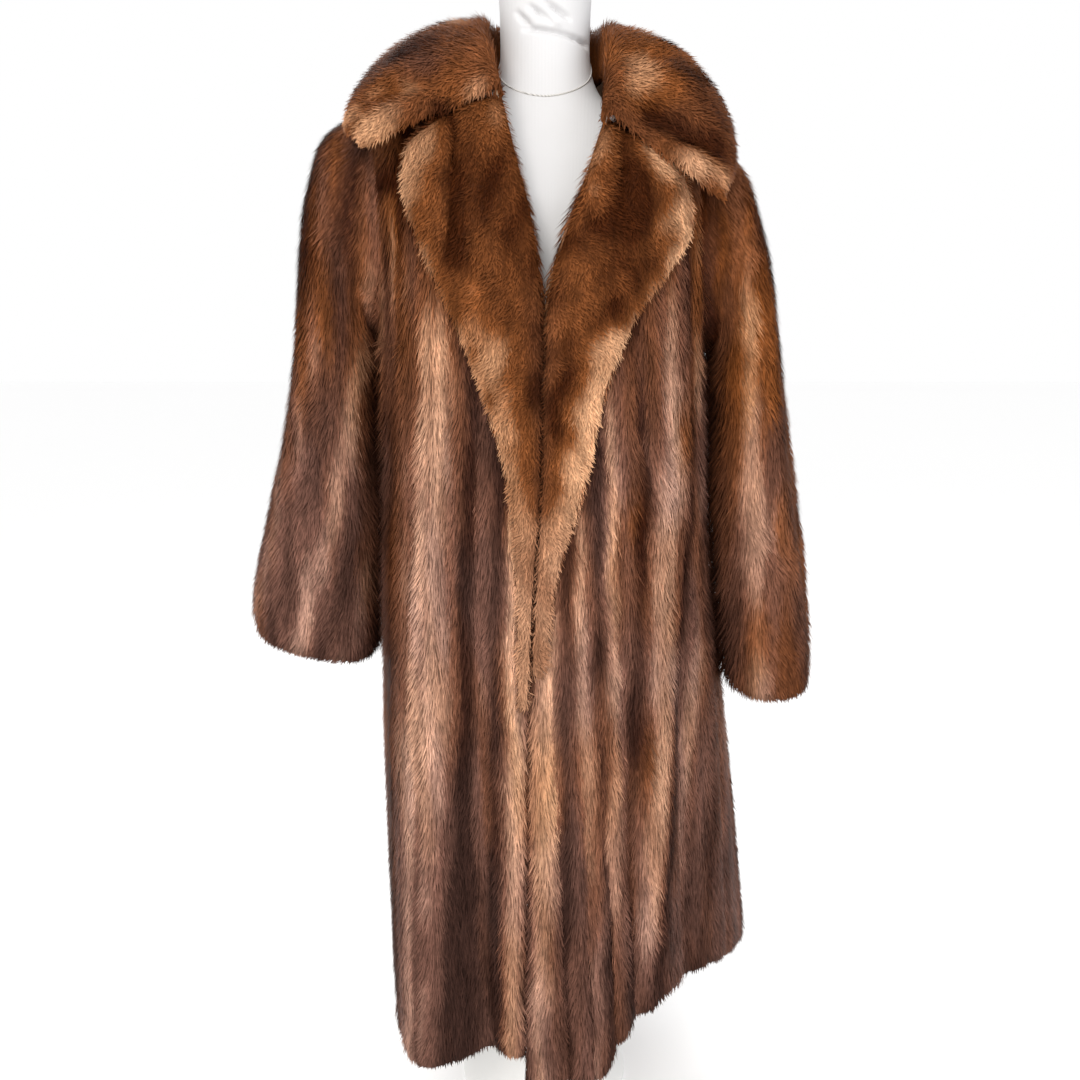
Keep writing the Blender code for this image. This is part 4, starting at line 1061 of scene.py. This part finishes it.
LAPELS = table(
    "side sign rows creases patches area seed",
    ("right", -1, LAPEL_RIGHT, LAPEL_CREASES_RIGHT, LAPEL_PATCHES_RIGHT, 0.050, 21),
    ("left", 1, LAPEL_LEFT, LAPEL_CREASES_LEFT, LAPEL_PATCHES_LEFT, 0.047, 22),
)
for lapel in LAPELS:
    along = np.linspace(0, 1, LAPEL_ROWS + 1)[:, None]
    _, roll_x, roll_z, edge_x, edge_z = (v[:, None] for v in rows_at(lapel.rows, along[:, 0]).T)
    share = np.linspace(LAPEL_TRIM, 1 - LAPEL_TRIM, LAPEL_COLUMNS + 1)[None, :]
    heights = mix(roll_z, edge_z, share)
    angles = angle_at_x(heights, mix(roll_x, edge_x, share))
    lift = LAPEL_LIFT * np.sin(math.pi * share) * ease(np.abs(edge_x - roll_x) / 0.06)
    base = body_point(angles, heights, WALL + SEAM + LAPEL_GAP + lift)
    # Painted highlight along the rolled outer edge.
    light = LAPEL_LIGHT + LAPEL_RIM_HIGHLIGHT * rise(share, 0.80, 0.15) + clouded(LAPEL_CLOUDS, base, lapel.seed)[0]
    # Among the patches are painted shade in the creases and painted highlight on their ridges.
    light = light + 1.25 * patched(lapel.patches, along, share)
    gold = LAPEL_GOLD - 0.25 * fall(share, 0.30, 0.3) * fall(along, 0.75, 0.2)
    low_end = fall(along, END_TOP, 0.26)
    light = mix(light, END_LIGHT + clouded(END_CLOUDS, base)[0], low_end)
    colour = fur_colour(np.clip(light, DARKEST, LIGHTEST), mix(gold, END_GOLD, low_end))
    creases, to_roll = lapel.creases, share
    if lapel.sign < 0:
        base, colour, to_roll = base[:, ::-1], colour[:, ::-1], share[:, ::-1]
        creases = [c._replace(column_a=1 - c.column_a, column_b=1 - c.column_b) for c in creases]
    base = creased(base, creases)
    profile = edge_profile(*heights.shape, 0.008, 0.004, ("bottom", "top", "first", "last"))
    outer = base + directions(base)[2] * (LAPEL_UNDERFUR * profile)[..., None]
    sideways = 0.5 * clouds(outer, (0.03, 0.03, 0.03), 8) + lapel.sign * 0.9 * bell(to_roll / 0.10)
    nap = nap_of(outer, np.array((0.35 * lapel.sign, -0.1, -1.0)), sideways)
    node = "lapel_" + lapel.side
    skin, fur = fur_piece(node, "facing_fur", lapel.seed, (outer, base), nap, colour, **LAPEL_HAIR)

# ------------------------------------------------------------------ collar
# A wide notched collar of the same fur, sewn round the neck and rolled over its own stand. It is
# one soft piece whose wings lie on the shoulders and run into the tops of the lapels.
COLLAR_WALL = 0.011
COLLAR_TRIM = 0.008  # the skin stops this much short of the fur's edge
COLLAR_UNDERFUR, COLLAR_EDGE = 0.0040, 0.0060  # how far it lies under the tips, and more at edges
ROLL_RADIUS = 0.017
COLLAR_COLUMNS = 132
STAND_STEPS, ROLL_STEPS, FALL_STEPS = 6, 12, 30
COLLAR = table(
    "round foot_x foot_y foot_z roll_x roll_y roll_z edge_x edge_y edge_z bulge",
    (0, -0.046, -0.118, 1.366, -0.056, -0.132, 1.378, -0.201, -0.148, 1.316, -0.003),
    (0.12, -0.055, -0.08, 1.396, -0.068, -0.096, 1.428, -0.234, -0.11, 1.344, 0.018),
    (0.26, -0.06, -0.022, 1.412, -0.078, -0.028, 1.474, -0.225, -0.015, 1.398, 0.02),
    (0.38, -0.05, 0.032, 1.412, -0.064, 0.044, 1.482, -0.213, 0.085, 1.374, 0.019),
    (0.5, 0, 0.06, 1.412, 0, 0.078, 1.486, -0.01, 0.19, 1.34, 0.012),
    (0.62, 0.05, 0.032, 1.412, 0.064, 0.044, 1.478, 0.196, 0.085, 1.346, 0.018),
    (0.74, 0.06, -0.022, 1.41, 0.078, -0.028, 1.468, 0.224, -0.015, 1.358, 0.026),
    (0.88, 0.06, -0.08, 1.39, 0.078, -0.096, 1.42, 0.224, -0.108, 1.302, 0.022),
    (1, 0.058, -0.134, 1.336, 0.07, -0.146, 1.348, 0.196, -0.166, 1.258, -0.006),
)
# Rows run from the foot of the stand over the roll to the outer edge, columns round the neck.
COLLAR_CREASES = table(
    CREASE,
    (0.62, 0.02, 0.96, 0.055, 0.013, 0.01), (0.55, 0.06, 0.84, 0.1, 0.011, -0.009),
    (0.5, 0.03, 0.6, 0.02, 0.01, -0.007), (0.5, 0.962, 0.9, 0.932, 0.011, -0.013),
    (0.66, 0.985, 0.96, 0.965, 0.015, 0.009), (0.52, 0.9, 0.7, 0.86, 0.016, 0.006),
    (0.46, 0.88, 0.56, 0.82, 0.012, -0.006), (0.75, 0.34, 0.8, 0.46, 0.016, -0.005),
    (0.7, 0.6, 0.82, 0.68, 0.016, -0.005),
)
# Along the creases these are painted shade in the troughs and painted highlight on the ridges.
COLLAR_PATCHES = table(
    PATCH,
    (0.95, 0.03, 0.12, 0.03, 0.5), (0.8, 0.04, 0.08, 0.03, 0.26), (0.97, 0.11, 0.08, 0.04, 0.3),
    (0.8, 0.105, 0.08, 0.024, 0.3), (0.68, 0.07, 0.06, 0.024, 0.22),
    (0.6, 0.01, 0.06, 0.022, -0.46), (0.42, 0.015, 0.08, 0.024, 0.26),
    (0.66, 0.165, 0.16, 0.026, -0.36), (0.88, 0.19, 0.12, 0.03, -0.24),
    (0.44, 0.11, 0.08, 0.04, 0.16), (0.44, 0.24, 0.1, 0.08, 0.16), (0.42, 0.9, 0.1, 0.07, 0.24),
    (0.54, 0.958, 0.07, 0.018, -0.46), (0.68, 0.948, 0.08, 0.018, -0.56),
    (0.82, 0.935, 0.08, 0.02, -0.5), (0.58, 0.85, 0.08, 0.04, -0.2),
    (0.78, 0.89, 0.09, 0.026, -0.2), (0.9, 0.82, 0.14, 0.07, -0.22),
    (0.8, 0.985, 0.09, 0.024, 0.44), (0.94, 0.965, 0.08, 0.024, 0.2), (0.42, 0.76, 0.1, 0.06, 0.16),
    (0.6, 0.72, 0.1, 0.06, 0.06),
)
COLLAR_LIGHT, COLLAR_GOLD, COLLAR_DARKEST = 0.36, 0.90, 0.03
COLLAR_CLOUDS = table(CLOUD, ((0.028, 0.03, 0.03), 31, 0.13, 0), ((0.04, 0.04, 0.04), 32, 0, 0.1))
COLLAR_HAIR = dict(spacing=0.0016, length=0.0118, width=0.0015, lift=15, stray=36)
# Patches that are less golden instead.
COLLAR_BROWNS = table(PATCH, (0.72, 0.175, 0.2, 0.035, 0.6), (0.56, 0.11, 0.11, 0.03, 0.45))

around = np.linspace(0.008, 0.992, COLLAR_COLUMNS + 1)
values = rows_at(COLLAR, around)
foot_points, roll_points, edge_points = values[:, 1:4], values[:, 4:7], values[:, 7:10]
bulge = values[:, 10:11]
up = np.array((0.0, 0.0, 1.0))
outwards = normalized((edge_points - roll_points) * (1, 1, 0))
edge_points = edge_points - normalized(edge_points - roll_points) * COLLAR_TRIM
centre = roll_points - up * ROLL_RADIUS
drop = edge_points - centre
last = np.arctan2((drop * outwards).sum(-1), -drop[:, 2])[:, None]
arc_start = centre - outwards * ROLL_RADIUS
grid = [mix(foot_points, arc_start, k / STAND_STEPS) for k in range(STAND_STEPS)]
for k in range(ROLL_STEPS + 1):
    turn = mix(math.pi, last, k / ROLL_STEPS)
    grid.append(centre + (outwards * np.cos(turn) + up * np.sin(turn)) * ROLL_RADIUS)
arc_end = grid[-1]
swell = (outwards * np.cos(last) + up * np.sin(last)) * bulge
for k in range(1, FALL_STEPS + 1):
    share = k / FALL_STEPS
    grid.append(mix(arc_end, edge_points, share) + swell * 4 * share * (1 - share))
grid = creased(np.array(grid), COLLAR_CREASES)
across, along, inwards = directions(grid)
profile = edge_profile(len(grid), COLLAR_COLUMNS + 1, 0.0055, 0.006, ("top", "first", "last"))
outer = grid - inwards * (COLLAR_UNDERFUR + COLLAR_EDGE * (1 - profile))[..., None]
inner = grid - inwards * (COLLAR_WALL - LEATHER)
row_share, column_share = np.linspace(0, 1, len(grid))[:, None], around[None, :]
light, gold = clouded(COLLAR_CLOUDS, grid)
# The patches hold painted shade in the crease troughs and painted highlight on their ridges.
light = COLLAR_LIGHT + 1.2 * patched(COLLAR_PATCHES, row_share, column_share) + light
gold = COLLAR_GOLD - patched(COLLAR_BROWNS, row_share, column_share) + gold
colour = fur_colour(np.clip(light, COLLAR_DARKEST, LIGHTEST), gold)
# The hair lies down the fall, and slants away from the front ends.
front_end = (fall(column_share, 0.07, 0.07) - rise(column_share, 0.93, 0.07))[..., None]
slant = (0.7 + 0.9 * fall(row_share, 0.42, 0.15))[..., None]
nap = nap_of(grid, along - across * slant * front_end, 0.5 * clouds(grid, (0.035, 0.035, 0.035), 33))
pile = (0.30 + 0.70 * rise(row_share, 0.06, 0.12)) * (1 - 0.3 * rise(row_share, 0.90, 0.08))
collar, fur = fur_piece("collar", "facing_fur", 31, (outer, inner), nap, colour, pile, **COLLAR_HAIR)

# ------------------------------------------------------------------ sleeves
# Two wide straight sleeves, set into the armholes and open at the cuffs. Their strips run down
# the arm, and the cloth sinks into a few soft folds at the armhole and the elbow.
SLEEVE_ROWS, SLEEVE_COLUMNS = 58, 84
SLEEVE_END = 0.985  # the skin ends this far down, under the fur's tips
SLEEVE_SPREAD = 1.5  # rows are closer at the armhole
SLEEVE_SET = 3 / 17  # share in which the armhole's ring turns into the sleeve's own
SLEEVE_SQUARE = 2.3
SLEEVE_STRIP = 32.0  # degrees round the arm
SLEEVE_LIGHT = 0.42
SLEEVE_FRONT, SLEEVE_BLEND = 125, 30  # degrees round where the even strips begin
SLEEVE_ROW = "along in_x in_z out_x out_z mid_y half_y"
SLEEVE_RIGHT = table(
    SLEEVE_ROW,
    (0.00, 0.211, 1.115, 0.234, 1.388, 0.000, 0.088), (0.06, 0.214, 1.112, 0.257, 1.355, 0.000, 0.090),
    (0.12, 0.215, 1.108, 0.277, 1.308, -0.001, 0.091), (0.20, 0.214, 1.098, 0.296, 1.222, -0.003, 0.092),
    (0.30, 0.210, 1.070, 0.310, 1.120, -0.006, 0.090), (0.45, 0.210, 0.985, 0.333, 1.000, -0.012, 0.086),
    (0.65, 0.213, 0.870, 0.360, 0.890, -0.020, 0.082), (0.85, 0.218, 0.760, 0.383, 0.790, -0.028, 0.080),
    (1.00, 0.221, 0.690, 0.380, 0.730, -0.032, 0.078),
)
SLEEVE_LEFT = table(
    SLEEVE_ROW,
    (0.00, 0.2095, 1.098, 0.208, 1.345, 0.000, 0.086), (0.06, 0.2125, 1.094, 0.230, 1.320, 0.000, 0.088),
    (0.12, 0.2135, 1.090, 0.249, 1.276, -0.003, 0.089), (0.20, 0.2125, 1.082, 0.271, 1.198, -0.010, 0.088),
    (0.30, 0.206, 1.060, 0.290, 1.105, -0.020, 0.084), (0.45, 0.208, 0.970, 0.309, 0.985, -0.034, 0.080),
    (0.65, 0.218, 0.845, 0.331, 0.855, -0.046, 0.076), (0.85, 0.233, 0.720, 0.345, 0.728, -0.056, 0.074),
    (1.00, 0.240, 0.660, 0.346, 0.666, -0.062, 0.072),
)
# The arm as the strips see it, between the cuff and the shoulder.
ARM = table(
    "height half_width half_depth",
    (0.7, 0.078, 0.076), (0.9, 0.072, 0.083), (1.1, 0.055, 0.09), (1.35, 0.055, 0.08),
)
ARM_LEAN = 0.125
# Rows run from the armhole to the cuff, columns round from the inside of the arm.
SLEEVE_CREASES = table(
    CREASE,
    (0.2, 0.78, 0.42, 0.74, 0.01, -0.007), (0.25, 0.66, 0.55, 0.7, 0.012, 0.006),
    (0.45, 0.8, 0.75, 0.72, 0.011, -0.006), (0.5, 0.62, 0.88, 0.6, 0.012, -0.005),
    (0.7, 0.84, 0.92, 0.8, 0.01, 0.005), (0.3, 0.2, 0.6, 0.26, 0.012, -0.006),
    (0.4, 0.36, 0.8, 0.34, 0.012, 0.005),
)
# Degrees round from the front of the arm, outwards positive, at the cuff and at the elbow.
SLEEVE_STRIPES_RIGHT = table(
    STRIPE,
    (92, 60, 14, -0.18, 0), (64, 24, 12, 0.16, 0.1), (33, -7, 13, -0.2, -0.2),
    (9, -30, 13, 0.28, 0), (-17, -64, 12, -0.24, -0.1), (-36, -92, 12, 0.14, 0),
    (-72, -112, 16, -0.34, 0),
)
SLEEVE_STRIPES_LEFT = table(
    STRIPE,
    (-72, -54, 15, -0.34, -0.1), (-21, -8, 14, 0.26, 0), (30, 42, 13, -0.2, 0.2),
    (63, 76, 12, 0.12, -0.1), (92, 104, 14, -0.16, 0),
)
SLEEVE_SHADES = table(SHADE, (1.06, 0.14, -0.18, 0), (0.92, 0.25, 0, 0.45))
SLEEVE_CLOUDS = table(CLOUD, ((0.012, 0.03, 0.07), 0, 0.1, 0), ((0.018, 0.04, 0.1), 5, 0, 0.28))
SLEEVE_PATCHES_RIGHT = table(
    PATCH,
    (0.3, 0.34, 0.05, 0.06, -0.2), (0.52, 0.28, 0.06, 0.05, -0.16), (0.8, 0.28, 0.08, 0.05, 0.14),
)
SLEEVE_PATCHES_LEFT = table(
    PATCH,
    (0.34, 0.74, 0.05, 0.06, 0.18), (0.56, 0.7, 0.05, 0.07, -0.12), (0.18, 0.78, 0.05, 0.05, -0.14),
    (0.84, 0.73, 0.12, 0.12, -0.11),
)
SLEEVES = table(
    "side sign rows stripes patches gold flat area seed",
    ("right", -1, SLEEVE_RIGHT, SLEEVE_STRIPES_RIGHT, SLEEVE_PATCHES_RIGHT, 0.15, (0.55, 0.68), 0.268, 41),
    ("left", 1, SLEEVE_LEFT, SLEEVE_STRIPES_LEFT, SLEEVE_PATCHES_LEFT, 0.50, (0.51, 0.69), 0.241, 42),
)


def armhole_ring(turns, sign, out):
    """The sleeve's seam in the armhole, from the armpit over the shoulder tip."""
    height = (ARMPIT + SHOULDER_TIP) / 2 - (half_rise - SEAM) * np.cos(turns)
    depth = (ARMHOLE_DEPTH - SEAM) * np.abs(np.sin(turns))
    front, back = (angle_at_depth(height, depth, sign, side) for side in (1, -1))
    angle = np.where(turns <= math.pi, front, back)
    return body_point(angle, height, np.full(angle.shape, out))


def sleeve_rings(values, turns, sign, inset):
    """Sections of a sleeve, moved in from the fur side."""
    _, in_x, in_z, out_x, out_z, mid_y, half_y = (v[:, None] for v in values.T)
    length = np.hypot(out_x - in_x, out_z - in_z)
    reach = squared_radius(np.cos(turns), np.sin(turns), SLEEVE_SQUARE)
    offset = (length / 2 - inset) * np.cos(turns) * reach
    x = (in_x + out_x) / 2 - (out_x - in_x) / length * offset
    z = (in_z + out_z) / 2 - (out_z - in_z) / length * offset
    y = mid_y - (half_y - inset) * np.sin(turns) * reach
    return np.stack([sign * x, y, z], -1)


def sleeve_colour(points, sleeve, row_share, column_share):
    """Colours of a sleeve, whose strips run straight down the arm from the shoulder."""
    x, y, z = np.moveaxis(points, -1, 0)
    cuff = sleeve.rows[-1]
    heights, half_widths, half_depths = zip(*ARM)
    middle = (cuff.in_x + cuff.out_x) / 2 - ARM_LEAN * (z - 0.72)
    centre_y = np.interp(z, (0.70, 1.10), (cuff.mid_y, -0.004))
    outwards = (sleeve.sign * x - middle) / np.interp(z, heights, half_widths)
    forwards = (centre_y - y) / np.interp(z, heights, half_depths)
    degrees = np.degrees(np.arctan2(outwards, forwards))
    light, gold = striped(sleeve.stripes, degrees, np.clip((z - 0.73) / 0.32, -0.1, 1.2))
    is_front = fall(np.abs(degrees), SLEEVE_FRONT, SLEEVE_BLEND)
    light = mix(even_strips(degrees, SLEEVE_STRIP), light, is_front)
    light = light + patched(sleeve.patches, row_share, column_share)
    tones = np.array([light, gold * is_front])
    tones += shaded(SLEEVE_SHADES, z) + clouded(SLEEVE_CLOUDS, points, sleeve.seed)
    return fur_colour(SLEEVE_LIGHT + tones[0], sleeve.gold + tones[1])


for sleeve in SLEEVES:
    turns = 2 * math.pi * np.arange(SLEEVE_COLUMNS) / SLEEVE_COLUMNS
    if sleeve.sign > 0:
        turns = turns[::-1]
    at = np.linspace(0, SLEEVE_END, SLEEVE_ROWS + 1)
    rings = sleeve_rings(rows_at(sleeve.rows, at**SLEEVE_SPREAD), turns, sleeve.sign, WALL - LEATHER)
    at = at[:, None]
    seam_ring = armhole_ring(turns, sleeve.sign, LEATHER)[None]
    base = mix(seam_ring, rings, ease(at / SLEEVE_SET)[..., None])
    base = creased(base, SLEEVE_CREASES, closed_round=True)
    profile = edge_profile(*base.shape[:2], 0.010, 0.006, ("top",))
    outer = base + directions(base, closed_round=True)[2] * ((UNDERFUR - LEATHER) * profile)[..., None]
    colour = sleeve_colour(outer, sleeve, at, np.linspace(0, 1, SLEEVE_COLUMNS)[None, :])
    sideways = 0.30 * clouds(outer, NAP_CLOUD_SIZE, sleeve.seed + 9)
    nap = nap_of(outer, np.array((0.34 * sleeve.sign, -0.1, -1.0)), sideways, closed_round=True)
    # Fuller on the inner side, in the cleft beside the body, and thinner at the armhole's seam.
    inner_side = rise(np.cos(turns), 0.45, 0.4)[None, :]
    pile = 1 + CLEFT_PILE * inner_side * rise(at, 0.06, 0.1) * fall(at, 1.0, 0.12)
    pile = pile * mix(0.72, 1.0, ease(at / 0.3))
    near_cuff = bell((SLEEVE_END - at) / 0.035)
    # Thinner hair and painted shadow at the cuff.
    pile, colour = pile * (1 - HEM_THINNING * near_cuff), colour * (1 - PAINTED_HEM_SHADOW * near_cuff)[..., None]
    node = "sleeve_" + sleeve.side
    skin, fur = fur_piece(node, "fur", sleeve.seed, (outer, base), nap, colour, pile, closed_round=True)

# ------------------------------------------------------------------ end
bpy.data.objects.remove(lock)
